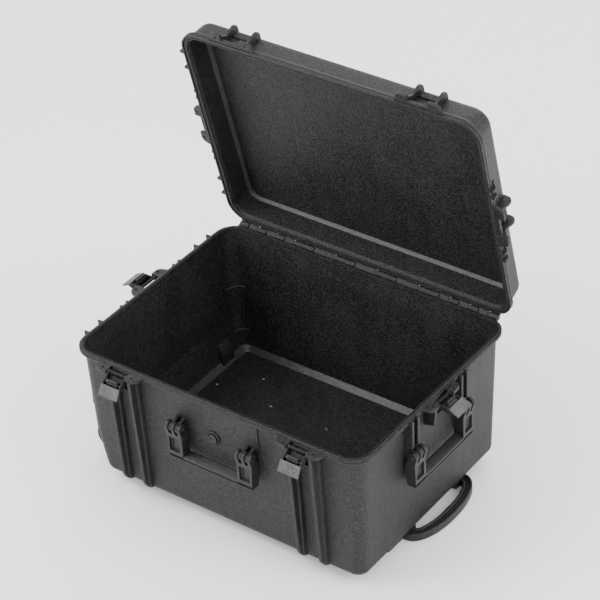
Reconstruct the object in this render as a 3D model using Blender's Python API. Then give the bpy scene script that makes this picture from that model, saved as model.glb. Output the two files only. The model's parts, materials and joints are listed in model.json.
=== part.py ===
"""Rolling hard equipment case with its lid open, as separate pieces on their real joints.

Frame: metres, +Z up, X along the front, +Y towards the hinge. The origin is on the ground under the
middle of the case. Wall features are drawn in a station frame: side = along the wall, out = away from
the inner rim line, up = above the rim plane.
"""

import math

import bmesh
import bpy
from mathutils import Matrix, Vector

# Shells
INNER_WIDTH = 0.620
INNER_DEPTH = 0.462
BASE_HEIGHT = 0.2815
GROUND_GAP = 0.022
RIM_Z = GROUND_GAP + BASE_HEIGHT
CORNER_RADIUS = 0.033
CORNER_STEPS = 4
WALL_OUT_TOP = 0.0005
WALL_OUT_BOTTOM = -0.0100
WALL_THICKNESS = 0.0040
FLOOR_THICKNESS = 0.0048
BOTTOM_FILLET = 0.019
FLANGE_OUT = 0.010
FLANGE_DEPTH = 0.009
TONGUE_OUT = 0.0055
TONGUE_HEIGHT = 0.0015
CHAMFER_HEIGHT = 0.085
CHAMFER_INSET = 0.014
LID_HEIGHT = 0.056
LID_WALL_OUT = 0.0027
LID_FILLET = 0.014
LID_WALL = 0.0038
LID_DRAFT = 0.004
LID_ROOT_OUT = 0.0072
GAP = 0.0003

# Lid hinge
HINGE_X = -0.004
HINGE_OUT = 0.0174
HINGE_DROP = 0.0036
HINGE_Y = INNER_DEPTH / 2 + HINGE_OUT
HINGE_Z = RIM_Z - HINGE_DROP
LID_OPEN = math.radians(76.3)
KNUCKLE_RADIUS = 0.006
KNUCKLE_GAP = 0.0008
PIN_RADIUS = 0.002
SHORT_KNUCKLE = 0.0214
LONG_KNUCKLE = 0.0472
KNUCKLES = [SHORT_KNUCKLE] * 6 + [LONG_KNUCKLE] * 7 + [SHORT_KNUCKLE] * 6

# Latches: side, out and up in the station frame
LATCH_X = 0.199
LATCH_OPEN_FRONT = math.radians(128)
LATCH_OPEN_SIDE = math.radians(97)
LATCH_PIVOT_OUT = 0.020
LATCH_PIVOT_UP = -0.007
LEVER_HALF_WIDTH = 0.0205
LEVER_LENGTH = 0.052
LEVER_WINDOW = 0.028
LEVER_THICKNESS = 0.004
LEVER_ARM = 0.005
BARREL_RADIUS = 0.0035
LATCH_PIN_RADIUS = 0.0015
HOOK_PIVOT_ALONG = 0.019
HOOK_HALF_WIDTH = 0.012
HOOK_TRUNNION = 0.0018
HOOK_TILT_RATIO = 0.08
BOSS_SIDE = 0.033
BOSS_HOLE = 0.002
BOSS_HOLE_OUT = 0.022
BRACKET_OUT = 0.029
BRACKET_HALF = 0.044
BRACKET_FOOT = 0.051
BRACKET_THICKNESS = 0.007
POCKET_HALF = 0.0215
POCKET_DEPTH = 0.050
LEDGE_OUT = 0.017
LEDGE_HEIGHT = 0.0065
FIN_SIDE = 0.0245
FIN_THICKNESS = 0.005

# Wall ribs
RIB_SIDE = 0.024
RIB_CREST_HALF = 0.0033
RIB_STEP_OUT = 0.0075
RIB_TOP_OUT = 0.0225
RIB_SECTIONS = ((0.005, -0.0085, 0.005), (0.013, -0.001, 0.006), (0.026, 0.005, 0.0065),
                (BASE_HEIGHT - FLANGE_DEPTH, RIB_TOP_OUT, 0.0085))
CHEEK_OUT = 0.0285
SIDE_RIBS = (0.070, 0.087)
END_RIBS = (0.144, 0.183)
SIDE_RIB_HALF = 0.003
SIDE_RIB_OUT = 0.016
END_RIB_OUT = 0.0225
SIDE_RIB_DEPTH = 0.066
END_RIB_DEPTH = 0.175

# Carrying handles
HANDLE_PIVOT_OUT = 0.0165
HANDLE_PIVOT_UP = -0.0785
HANDLE_HALF = 0.0955
HANDLE_LEG = 0.035
HANDLE_DROP = 0.067
HANDLE_BAR_FRONT = 0.0095
HANDLE_BAR_SLOPE = 0.34
HANDLE_INNER_OUT = 0.0010
HANDLE_OUTER_OUT = 0.0226
LUG_RADIUS = 0.0092
LUG_WIDTH = 0.0062
LUG_PITCH = 0.0138
LUG_GAP = 0.0005
HANDLE_PIN_RADIUS = 0.0025

# Raised plain pad on the front wall, and the pressure valve
PAD_SIDES = (-0.025, 0.0965)
PAD_DEPTH = 0.066
PAD_OUT = 0.0022
VALVE_X = -0.0055
VALVE_UP = -0.084
VALVE_RADIUS = 0.0145
VALVE_OUT = 0.0035
VALVE_CAP_RADIUS = 0.0095

# Trolley
TROLLEY_Y = 0.030
TUBE_SIDE = 0.081
TUBE_Z = 0.0105
TUBE_START = -0.262
TUBE_END = 0.262
OUTER_TUBE = (0.0100, 0.0070)
INNER_TUBE = (0.0080, 0.0052)
TUBE_WALL = 0.0014
TRAY_START = -0.268
TRAY_END = 0.283
TRAY_LOW_Y = -0.113
TRAY_HIGH_Y = 0.131
TRAY_NOTCH = 0.264
TRAY_NOTCH_HALF = 0.066
MOUTH_HALF = 0.0205
TRAY_FLOOR = 0.004
TRAY_WEB = 0.004
TRAY_POST = 0.009
GRIP_BOTTOM = 0.0015
GRIP_TOP = 0.0175
GRIP_ROOT = 0.270
GRIP_ARC_START = 0.290
GRIP_REACH = 0.044
GRIP_HALF = 0.100
GRIP_HOLE_START = 0.288
GRIP_HOLE_REACH = 0.0275
GRIP_HOLE_HALF = 0.064
GRIP_POWER = 2.2
BUTTON_HALF = 0.014
BUTTON_TRAVEL = 0.004
TRAY_SCREWS = [(x, y) for x in (-0.260, -0.128, 0.004, 0.136) for y in (-0.091, 0.091)]
WALL_SCREWS = [(-0.192, -0.153), (-0.192, 0.153)]
SCREW_HEAD_RADIUS = 0.0045
SCREW_SHANK_RADIUS = 0.002
SCREW_SEAT_RADIUS = 0.005
SCREW_SEAT_DEPTH = 0.0006

# Wheels
WHEEL_X = -0.316
WHEEL_Y = 0.156
WHEEL_Z = GROUND_GAP + 0.022
WHEEL_RADIUS = 0.032
HUB_RADIUS = 0.022
WHEEL_HALF = 0.013
AXLE_RADIUS = 0.004
WELL_RADIUS = 0.0355
WELL_HALF = 0.0155
WELL_WALL = 0.003
CHEEK_OUTLINE = ((-0.010, 0.0), (-0.007, 0.008), (0.021, 0.031), (0.035, -0.010), (0.0, -0.010),
                 (-0.007, -0.007))

BLACK_SHELL = (0.030, 0.030, 0.031)
BLACK_TRIM = (0.022, 0.022, 0.023)
GREY_LEVER = (0.060, 0.060, 0.061)
STEEL = (0.55, 0.55, 0.56)
ALUMINIUM = (0.42, 0.43, 0.44)
RUBBER = (0.012, 0.012, 0.012)


def clear_scene():
    """Remove every object the file starts with."""
    for existing in list(bpy.data.objects):
        bpy.data.objects.remove(existing, do_unlink=True)


def make_material(name, color, roughness, metallic=0.0):
    """Return a Principled material in one colour."""
    material = bpy.data.materials.new(name)
    material.use_nodes = True
    shader = material.node_tree.nodes["Principled BSDF"]
    shader.inputs["Base Color"].default_value = (*color, 1.0)
    shader.inputs["Roughness"].default_value = roughness
    shader.inputs["Metallic"].default_value = metallic
    return material


def add_object(name, bm, look=None, matrix=None):
    """Turn a bmesh into an object; matrix moves its mesh first."""
    if matrix is not None:
        bmesh.ops.transform(bm, matrix=matrix, verts=bm.verts)
    bmesh.ops.recalc_face_normals(bm, faces=bm.faces)
    mesh = bpy.data.meshes.new(name)
    bm.to_mesh(mesh)
    bm.free()
    made = bpy.data.objects.new(name, mesh)
    bpy.context.collection.objects.link(made)
    if look is not None:
        color, roughness, metallic = look
        mesh.materials.append(make_material(name + "_finish", color, roughness, metallic))
    return made


def combine(target, tools, operation):
    """Apply a boolean of every tool to the target and remove the tools."""
    for tool in tools:
        modifier = target.modifiers.new("cut", "BOOLEAN")
        modifier.operation = operation
        modifier.solver = "EXACT"
        modifier.object = tool
    bpy.context.view_layer.update()
    evaluated = target.evaluated_get(bpy.context.evaluated_depsgraph_get())
    result = bpy.data.meshes.new_from_object(evaluated)
    target.modifiers.clear()
    target.data = result
    for tool in tools:
        bpy.data.objects.remove(tool, do_unlink=True)


def shade(made):
    """Shade round faces smooth and keep the real edges sharp."""
    made.data.shade_smooth()
    made.data.set_sharp_from_angle(angle=math.radians(32))


def loft(rings, looped=False):
    """Join rings of equal length into a closed body, or into a torus when looped."""
    bm = bmesh.new()
    rows = [[bm.verts.new(point) for point in ring] for ring in rings]
    count = len(rows[0])
    followers = rows[1:] + rows[:1] if looped else rows[1:]
    for row, follower in zip(rows, followers):
        for index in range(count):
            after = (index + 1) % count
            bm.faces.new((row[index], row[after], follower[after], follower[index]))
    if not looped:
        bm.faces.new(list(reversed(rows[0])))
        bm.faces.new(rows[-1])
    return bm


def case_ring(out, z, left_inset=0.0):
    """Rounded rectangle that runs parallel to the inner rim, offset outwards."""
    half_x = INNER_WIDTH / 2 + out
    half_y = INNER_DEPTH / 2 + out
    radius = CORNER_RADIUS + out
    left = -half_x + left_inset
    corners = ((half_x - radius, half_y - radius), (left + radius, half_y - radius),
               (left + radius, radius - half_y), (half_x - radius, radius - half_y))
    points = []
    for quarter, (x, y) in enumerate(corners):
        for step in range(CORNER_STEPS + 1):
            angle = math.pi / 2 * (quarter + step / CORNER_STEPS)
            points.append(Vector((x + radius * math.cos(angle), y + radius * math.sin(angle), z)))
    return points


def circle(x, y, radius, steps):
    """Points of a circle in an outline's plane."""
    turns = [2 * math.pi * step / steps for step in range(steps)]
    return [(x + radius * math.cos(turn), y + radius * math.sin(turn)) for turn in turns]


def sideways(outline, low, high):
    """Extrude an (out, up) outline along the wall, in the station frame."""
    return loft([[Vector((side, -out, up)) for out, up in outline] for side in (low, high)])


def upright(outline, low, high):
    """Extrude a (side, out) outline upwards, in the station frame."""
    return loft([[Vector((side, -out, up)) for side, out in outline] for up in (low, high)])


def plan(outline, low, high):
    """Extrude an (x, y) outline upwards, in the case's frame."""
    return loft([[Vector((x, y, z)) for x, y in outline] for z in (low, high)])


def outward(outline, low, high):
    """Extrude a (side, up) outline away from the wall, in the station frame."""
    return loft([[Vector((side, -out, up)) for side, up in outline] for out in (low, high)])


def box(low_x, high_x, low_y, high_y):
    """Outline of a rectangle."""
    return [(low_x, low_y), (high_x, low_y), (high_x, high_y), (low_x, high_y)]


def station(angle, side=0.0):
    """Frame on the rim of a wall: 0 is the front, 90 the right end, -90 the left end."""
    turn = Matrix.Rotation(math.radians(angle), 4, "Z")
    reach = INNER_DEPTH / 2 if angle == 0 else INNER_WIDTH / 2
    return Matrix.Translation((0, 0, RIM_Z)) @ turn @ Matrix.Translation((side, -reach, 0))


LATCHES = {
    "front_left": (station(0, -LATCH_X), LATCH_OPEN_FRONT),
    "front_right": (station(0, LATCH_X), LATCH_OPEN_FRONT),
    "right_end": (station(90), LATCH_OPEN_SIDE),
    "left_end": (station(-90), LATCH_OPEN_SIDE),
}
HANDLES = {"front": station(0), "right_end": station(90), "left_end": station(-90)}
ENDS = {"right_end": SIDE_RIBS, "left_end": SIDE_RIBS + END_RIBS}


def wall_out(up):
    """Offset of the base's outer wall at a height below the rim."""
    return WALL_OUT_TOP + (WALL_OUT_TOP - WALL_OUT_BOTTOM) * up / BASE_HEIGHT


def left_inset(z):
    """Extra inset of the left wall where its lower part slants in over the wheels."""
    height = z - GROUND_GAP
    return CHAMFER_INSET * max(0.0, 1 - height / CHAMFER_HEIGHT)


def base_rings(hollow):
    """Rings of the base from its underside, over the rim and down inside to the floor."""
    rings = []
    for step in range(5):
        angle = math.pi / 2 * step / 4
        out = WALL_OUT_BOTTOM - BOTTOM_FILLET * (1 - math.sin(angle))
        z = GROUND_GAP + BOTTOM_FILLET * (1 - math.cos(angle))
        rings.append(case_ring(out, z, left_inset(z)))
    chamfer_z = GROUND_GAP + CHAMFER_HEIGHT
    rings.append(case_ring(wall_out(chamfer_z - RIM_Z), chamfer_z))
    rings.append(case_ring(wall_out(-FLANGE_DEPTH - 0.006), RIM_Z - FLANGE_DEPTH - 0.006))
    rings.append(case_ring(FLANGE_OUT, RIM_Z - FLANGE_DEPTH))
    rings.append(case_ring(FLANGE_OUT, RIM_Z - TONGUE_HEIGHT))
    rings.append(case_ring(TONGUE_OUT, RIM_Z - TONGUE_HEIGHT))
    rings.append(case_ring(TONGUE_OUT, RIM_Z))
    if not hollow:
        return rings
    rings.append(case_ring(0.0, RIM_Z))
    rings.append(case_ring(0.0, RIM_Z - FLANGE_DEPTH * 0.6))
    rings.append(case_ring(wall_out(-FLANGE_DEPTH) - WALL_THICKNESS, RIM_Z - FLANGE_DEPTH))
    rings.append(case_ring(wall_out(chamfer_z - RIM_Z) - WALL_THICKNESS, chamfer_z))
    inner_fillet = BOTTOM_FILLET - FLOOR_THICKNESS
    inner_bottom = WALL_OUT_BOTTOM - WALL_THICKNESS
    for step in range(4, -1, -1):
        angle = math.pi / 2 * step / 4
        out = inner_bottom - inner_fillet * (1 - math.sin(angle))
        z = GROUND_GAP + FLOOR_THICKNESS + inner_fillet * (1 - math.cos(angle))
        rings.append(case_ring(out, z, left_inset(z)))
    return rings


def bracket(low, high):
    """Latch bracket beside the rim, tapering into the flange at both ends."""
    outline = [(-BRACKET_FOOT, FLANGE_OUT - 0.002), (-BRACKET_HALF, BRACKET_OUT - 0.004),
               (-BRACKET_HALF + 0.005, BRACKET_OUT), (BRACKET_HALF - 0.005, BRACKET_OUT),
               (BRACKET_HALF, BRACKET_OUT - 0.004), (BRACKET_FOOT, FLANGE_OUT - 0.002)]
    return upright(outline, low, high)


def boss_hole(sign, low, high):
    """Cutter for the small hole in a bracket's boss."""
    return upright(circle(sign * BOSS_SIDE, BOSS_HOLE_OUT, BOSS_HOLE, 12), low, high)


def skin_out(height):
    """Offset of the base's outer skin at a height above its underside, bottom fillet included."""
    if height >= BOTTOM_FILLET:
        return wall_out(height - BASE_HEIGHT)
    angle = math.acos(1 - height / BOTTOM_FILLET)
    return WALL_OUT_BOTTOM - BOTTOM_FILLET * (1 - math.sin(angle))


def front_rib(side):
    """Stepped rib under a latch: a narrow crest with a lower step on each side."""
    sections = []
    for height, crest, step_half in RIB_SECTIONS:
        skin = skin_out(height)
        step = min(skin + RIB_STEP_OUT, crest - 0.0015)
        root = skin - 0.0025
        right = [(RIB_CREST_HALF, crest), (RIB_CREST_HALF + 0.0012, step), (step_half, step),
                 (step_half + 0.0015, root)]
        left = [(-along, out) for along, out in reversed(right)]
        sections.append([Vector((side + along, -out, height - BASE_HEIGHT)) for along, out in left + right])
    return loft(sections)


def side_rib(side, depth, reach):
    """Thin upright rib on an end wall, hanging from the flange."""
    outline = [(0.0, -0.004), (reach, -0.004), (reach, -depth), (wall_out(-depth) - 0.001, -depth - 0.006),
               (wall_out(-depth) - 0.002, -depth), (0.0, -depth)]
    return sideways(outline, side - SIDE_RIB_HALF, side + SIDE_RIB_HALF)


def front_pad():
    """Raised plain pad under the front flange."""
    low = -PAD_DEPTH
    high = -FLANGE_DEPTH + 0.001
    outline = [(wall_out(low) - 0.002, low), (wall_out(low) + PAD_OUT, low), (wall_out(high) + PAD_OUT, high),
               (wall_out(high) - 0.002, high)]
    return sideways(outline, *PAD_SIDES)


def lug_sides():
    """Side positions of the base's handle lugs: two in each pivot."""
    centre = HANDLE_HALF - HANDLE_LEG / 2
    return [sign * centre + offset * LUG_PITCH / 2 for sign in (-1, 1) for offset in (-1, 1)]


def handle_lug(side):
    """Round lug on the base that carries a handle's pin."""
    root = wall_out(HANDLE_PIVOT_UP) - 0.0015
    arc = [(HANDLE_PIVOT_OUT + LUG_RADIUS * math.cos(turn), HANDLE_PIVOT_UP + LUG_RADIUS * math.sin(turn))
           for turn in [math.radians(100 - 40 * step) for step in range(6)]]
    flare = LUG_RADIUS + 0.003
    outline = [(root, HANDLE_PIVOT_UP + flare)] + arc + [(root, HANDLE_PIVOT_UP - flare)]
    return sideways(outline, side - LUG_WIDTH / 2, side + LUG_WIDTH / 2)


def knuckle_spans():
    """Start and end of every hinge knuckle along X."""
    start = HINGE_X - sum(KNUCKLES) / 2
    spans = []
    for length in KNUCKLES:
        spans.append((start + KNUCKLE_GAP / 2, start + length - KNUCKLE_GAP / 2))
        start += length
    return spans


def along_hinge(start, end, radius, steps=8):
    """Round bar on the lid's hinge axis."""
    ring = circle(HINGE_Y, HINGE_Z, radius, steps)
    return loft([[Vector((x, y, z)) for y, z in ring] for x in (start, end)])


def knuckle(span, low_z, high_z):
    """Hinge knuckle on its arm; the arm fills low_z to high_z beside the flange."""
    barrel = along_hinge(*span, KNUCKLE_RADIUS, 10)
    inner = INNER_DEPTH / 2 + FLANGE_OUT - 0.003
    arm = loft([[Vector((x, y, z)) for y, z in box(inner, HINGE_Y + 0.001, low_z, high_z)] for x in span])
    return add_object("barrel", barrel), add_object("arm", arm)


def hinge_bore():
    """Cutter for the hinge pin's bore."""
    half = sum(KNUCKLES) / 2 + 0.01
    return add_object("bore", along_hinge(HINGE_X - half, HINGE_X + half, PIN_RADIUS + GAP))


def along_y(x, z, radius, low, high, steps=24):
    """Round bar along Y."""
    return loft([[Vector((x + a, y, z + b)) for a, b in circle(0, 0, radius, steps)] for y in (low, high)])


def add_wheel_wells(base):
    """Push a housing for each wheel into the lower left edge, with cheeks that hold the axle."""
    for sign in (-1, 1):
        middle = sign * WHEEL_Y
        reach = WELL_HALF + WELL_WALL
        housing = add_object("housing", along_y(WHEEL_X, WHEEL_Z, WELL_RADIUS + WELL_WALL,
                                                middle - reach, middle + reach, 24))
        footprint = box(WHEEL_X, WHEEL_X + WELL_RADIUS + WELL_WALL, middle - reach, middle + reach)
        foot = add_object("foot", plan(footprint, GROUND_GAP, WHEEL_Z))
        envelope = add_object("envelope", loft(base_rings(hollow=False)))
        combine(housing, [foot], "UNION")
        combine(housing, [envelope], "INTERSECT")
        combine(base, [housing], "UNION")
    for sign in (-1, 1):
        middle = sign * WHEEL_Y
        for inner, outer in ((-WELL_HALF - WELL_WALL, -WELL_HALF), (WELL_HALF, WELL_HALF + WELL_WALL)):
            rows = [[Vector((WHEEL_X + x, middle + y, WHEEL_Z + z)) for x, z in CHEEK_OUTLINE]
                    for y in (inner, outer)]
            combine(base, [add_object("cheek", loft(rows))], "UNION")
        cavity = add_object("cavity", along_y(WHEEL_X, WHEEL_Z, WELL_RADIUS, middle - WELL_HALF + 0.0001,
                                              middle + WELL_HALF - 0.0001, 24))
        bore = add_object("bore", along_y(WHEEL_X, WHEEL_Z, AXLE_RADIUS + GAP, middle - 0.03,
                                          middle + 0.03, 16))
        combine(base, [cavity, bore], "DIFFERENCE")


def build_base():
    """Base shell with its brackets, ribs, lugs, knuckles, wheel wells and holes."""
    base = add_object("base_shell", loft(base_rings(hollow=True)), (BLACK_SHELL, 0.55, 0.0))
    added = []
    cuts = []
    for matrix, _ in LATCHES.values():
        added.append(add_object("bracket", bracket(-FLANGE_DEPTH, -0.0022), matrix=matrix))
        for sign in (-1, 1):
            near, far = sorted((sign * (POCKET_HALF - 0.001), sign * CHEEK_OUT))
            column = box(near, far, wall_out(-POCKET_DEPTH) - 0.002, RIB_TOP_OUT)
            added.append(add_object("column", upright(column, -POCKET_DEPTH - 0.008, -FLANGE_DEPTH + 0.001),
                                    matrix=matrix))
            cuts.append(add_object("hole", boss_hole(sign, -0.012, 0.002), matrix=matrix))
        pocket = box(-POCKET_HALF, POCKET_HALF, 0.0052, BRACKET_OUT + 0.005)
        cuts.append(add_object("pocket", upright(pocket, -POCKET_DEPTH, -TONGUE_HEIGHT - 0.0002 + 0.004),
                               matrix=matrix))
        seat = circle(LATCH_PIVOT_OUT, LATCH_PIVOT_UP, LATCH_PIN_RADIUS + GAP, 10)
        cuts.append(add_object("pin_seat", sideways(seat, -0.0265, 0.0265), matrix=matrix))
    for name in ("front_left", "front_right"):
        for sign in (-1, 1):
            added.append(add_object("rib", front_rib(sign * RIB_SIDE), matrix=LATCHES[name][0]))
    for end, sides in ENDS.items():
        for side in sides:
            size = (SIDE_RIB_DEPTH, SIDE_RIB_OUT) if side in SIDE_RIBS else (END_RIB_DEPTH, END_RIB_OUT)
            for sign in (-1, 1):
                rib = side_rib(sign * side, *size)
                added.append(add_object("side_rib", rib, matrix=HANDLES[end]))
    for matrix in HANDLES.values():
        for side in lug_sides():
            added.append(add_object("lug", handle_lug(side), matrix=matrix))
        ring = circle(HANDLE_PIVOT_OUT, HANDLE_PIVOT_UP, HANDLE_PIN_RADIUS + GAP, 12)
        cuts.append(add_object("pin_bore", sideways(ring, -HANDLE_HALF, HANDLE_HALF), matrix=matrix))
    for span in knuckle_spans()[0::2]:
        added.extend(knuckle(span, RIM_Z - FLANGE_DEPTH, RIM_Z - TONGUE_HEIGHT - 0.0005))
    added.append(add_object("pad", front_pad(), matrix=station(0)))
    floor = GROUND_GAP + FLOOR_THICKNESS
    valve_hole = outward(circle(VALVE_X, VALVE_UP, VALVE_CAP_RADIUS - 0.002, 16), -0.010, 0.010)
    cuts.append(add_object("valve_hole", valve_hole, matrix=station(0)))
    for x, y in TRAY_SCREWS + WALL_SCREWS:
        cuts.append(add_object("screw_hole", plan(circle(x, y, SCREW_SHANK_RADIUS + GAP, 8), 0.010, 0.040)))
        seat = circle(x, y, SCREW_SEAT_RADIUS, 12)
        cuts.append(add_object("screw_seat", plan(seat, floor - SCREW_SEAT_DEPTH, floor + 0.010)))
    cuts.append(hinge_bore())
    combine(base, added, "UNION")
    add_wheel_wells(base)
    combine(base, cuts, "DIFFERENCE")
    shade(base)
    return base


def lid_axis():
    """Empty on the hinge axis that opens the lid and everything on it."""
    axis = bpy.data.objects.new("lid_axis", None)
    axis.location = (0, HINGE_Y, HINGE_Z)
    axis.rotation_euler = (-LID_OPEN, 0, 0)
    bpy.context.collection.objects.link(axis)
    return axis


def hang_on(made, axis, closed_place):
    """Parent a piece drawn in its closed place to an axis that sits at closed_place."""
    made.data.transform(Matrix.Translation(closed_place).inverted())
    made.parent = axis


def lid_rings():
    """Rings of the lid from its outer top, down to the rim, and up inside to the ceiling."""
    rings = []
    top = RIM_Z + LID_HEIGHT
    edge_out = LID_WALL_OUT - LID_DRAFT
    for step in range(5):
        angle = math.pi / 2 * step / 4
        rings.append(case_ring(edge_out - LID_FILLET * (1 - math.sin(angle)),
                               top - LID_FILLET * (1 - math.cos(angle))))
    rings.append(case_ring(LID_WALL_OUT, RIM_Z + FLANGE_DEPTH + 0.005))
    rings.append(case_ring(FLANGE_OUT, RIM_Z + FLANGE_DEPTH))
    rings.append(case_ring(FLANGE_OUT, RIM_Z - TONGUE_HEIGHT + 0.0004))
    rings.append(case_ring(TONGUE_OUT + 0.0008, RIM_Z - TONGUE_HEIGHT + 0.0004))
    rings.append(case_ring(TONGUE_OUT + 0.0008, RIM_Z + 0.0045))
    rings.append(case_ring(0.0008, RIM_Z + 0.0045))
    rings.append(case_ring(0.0008, RIM_Z + 0.0005))
    rings.append(case_ring(-0.0012, RIM_Z + 0.0005))
    inner_fillet = LID_FILLET + 0.002
    inner_edge = edge_out - LID_WALL
    for step in range(4, -1, -1):
        angle = math.pi / 2 * step / 4
        rings.append(case_ring(inner_edge - inner_fillet * (1 - math.sin(angle)),
                               top - LID_WALL - inner_fillet * (1 - math.cos(angle))))
    return rings


def fin(side):
    """Big rounded cheek on the lid beside a latch."""
    outline = [(LID_ROOT_OUT, 0.001), (BRACKET_OUT - 0.003, 0.001), (BRACKET_OUT - 0.006, 0.007),
               (0.014, 0.018), (0.0135, 0.026), (0.0165, 0.036), (0.0170, 0.042), (0.0145, 0.048),
               (0.008, 0.0525), (-0.006, 0.053), (0.0, 0.012), (LID_ROOT_OUT, 0.0055)]
    return sideways(outline, side - FIN_THICKNESS / 2, side + FIN_THICKNESS / 2)


def build_lid(axis):
    """Lid shell with its latch ledges, cheeks, ribs and knuckles."""
    lid = add_object("lid_shell", loft(lid_rings()), (BLACK_SHELL, 0.55, 0.0))
    added = []
    cuts = []
    for matrix, _ in LATCHES.values():
        added.append(add_object("bracket", bracket(0.0006, BRACKET_THICKNESS), matrix=matrix))
        for sign in (-1, 1):
            added.append(add_object("fin", fin(sign * FIN_SIDE), matrix=matrix))
            cuts.append(add_object("hole", boss_hole(sign, -0.002, 0.012), matrix=matrix))
        slot = box(-POCKET_HALF + 0.0002, POCKET_HALF - 0.0002, LEDGE_OUT, BRACKET_OUT + 0.004)
        cuts.append(add_object("slot", upright(slot, -0.004, 0.012), matrix=matrix))
        nose = box(-POCKET_HALF + 0.0005, POCKET_HALF - 0.0005, 0.0105, BRACKET_OUT + 0.004)
        cuts.append(add_object("nose", upright(nose, LEDGE_HEIGHT, 0.014), matrix=matrix))
    for end, sides in ENDS.items():
        for side in sides:
            reach = SIDE_RIB_OUT if side in SIDE_RIBS else END_RIB_OUT
            outline = [(LID_ROOT_OUT, 0.0012), (reach, 0.0012), (reach - 0.003, 0.008), (0.004, 0.022),
                       (0.0004, 0.026), (0.0, 0.012), (LID_ROOT_OUT, 0.0055)]
            for sign in (-1, 1):
                rib = sideways(outline, sign * side - SIDE_RIB_HALF, sign * side + SIDE_RIB_HALF)
                added.append(add_object("lid_rib", rib, matrix=HANDLES[end]))
    for span in knuckle_spans()[1::2]:
        added.extend(knuckle(span, RIM_Z + 0.0008, RIM_Z + 0.0058))
    cuts.append(hinge_bore())
    combine(lid, added, "UNION")
    combine(lid, cuts, "DIFFERENCE")
    hang_on(lid, axis, (0, HINGE_Y, HINGE_Z))
    shade(lid)


def build_gasket(axis):
    """Soft seal in the lid's groove."""
    low = RIM_Z + 0.0005
    high = RIM_Z + 0.0045 - GAP
    inner = 0.0008 + GAP
    outer = TONGUE_OUT + 0.0008 - GAP
    rings = [case_ring(outer, low + 0.001), case_ring(outer, high), case_ring(inner, high),
             case_ring(inner, low + 0.001), case_ring((inner + outer) / 2, low)]
    gasket = add_object("lid_gasket", loft(rings, looped=True), (RUBBER, 0.8, 0.0))
    hang_on(gasket, axis, (0, HINGE_Y, HINGE_Z))
    shade(gasket)


def build_hinge_pin():
    """Steel pin through all the knuckles, carried by the base."""
    half = sum(KNUCKLES) / 2 - 0.001
    shade(add_object("hinge_pin", along_hinge(HINGE_X - half, HINGE_X + half, PIN_RADIUS), (STEEL, 0.3, 1.0)))


def pivot_empty(name, matrix, out, up, angle):
    """Empty on a wall piece's axis, turned outwards from its closed pose by angle."""
    empty = bpy.data.objects.new(name, None)
    empty.matrix_world = matrix @ Matrix.Translation((0, -out, up)) @ Matrix.Rotation(angle, 4, "X")
    bpy.context.collection.objects.link(empty)
    return empty


def lever_profile():
    """Side profile of a latch lever: (away, along) with along pointing from the pivot to the tip."""
    return [(-0.001, 0.0), (-0.001, 0.030), (0.001, LEVER_LENGTH - 0.012), (0.0045, LEVER_LENGTH),
            (0.0085, LEVER_LENGTH - 0.002), (0.005, LEVER_LENGTH - 0.013), (LEVER_THICKNESS - 0.001, 0.030),
            (LEVER_THICKNESS - 0.001, 0.0)]


def build_latch(name, matrix, open_angle):
    """Latch lever, its pivot pin and the hook that grips the lid's ledge."""
    pivot = pivot_empty("latch_axis_" + name, matrix, LATCH_PIVOT_OUT, LATCH_PIVOT_UP, open_angle)
    lever = add_object("latch_lever_" + name, sideways(lever_profile(), -LEVER_HALF_WIDTH, LEVER_HALF_WIDTH),
                       (GREY_LEVER, 0.5, 0.0))
    inside = LEVER_HALF_WIDTH - LEVER_ARM
    window = outward(box(-inside, inside, BARREL_RADIUS + 0.003, LEVER_WINDOW), -0.01, 0.02)
    barrel = sideways(circle(0, 0, BARREL_RADIUS, 14), -LEVER_HALF_WIDTH, LEVER_HALF_WIDTH)
    combine(lever, [add_object("barrel", barrel)], "UNION")
    pin_bore = sideways(circle(0, 0, LATCH_PIN_RADIUS + GAP, 10), -0.03, 0.03)
    trunnion_bore = sideways(circle(0.001, HOOK_PIVOT_ALONG, HOOK_TRUNNION + GAP, 10),
                             -inside - 0.0025, inside + 0.0025)
    combine(lever, [add_object("cut", bm) for bm in (window, pin_bore, trunnion_bore)], "DIFFERENCE")
    lever.parent = pivot
    shade(lever)

    pin = add_object("latch_pin_" + name, sideways(circle(0, 0, LATCH_PIN_RADIUS, 10), -0.026, 0.026),
                     (STEEL, 0.3, 1.0))
    pin.parent = pivot
    shade(pin)

    hook_axis = bpy.data.objects.new("hook_axis_" + name, None)
    bpy.context.collection.objects.link(hook_axis)
    hook_axis.parent = pivot
    hook_axis.location = (0, -0.001, HOOK_PIVOT_ALONG)
    hook_axis.rotation_euler = (HOOK_TILT_RATIO * open_angle, 0, 0)
    outline = [(-0.0030, 0.004), (0.0022, 0.004), (0.0022, -0.0052), (-0.0095, -0.0052), (-0.0095, -0.0022),
               (-0.0045, -0.0015)]
    hook = add_object("latch_hook_" + name, sideways(outline, -HOOK_HALF_WIDTH, HOOK_HALF_WIDTH),
                      (BLACK_TRIM, 0.5, 0.0))
    trunnion = sideways(circle(0, 0, HOOK_TRUNNION, 10), -inside - 0.002, inside + 0.002)
    combine(hook, [add_object("trunnion", trunnion)], "UNION")
    hook.parent = hook_axis
    shade(hook)


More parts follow.
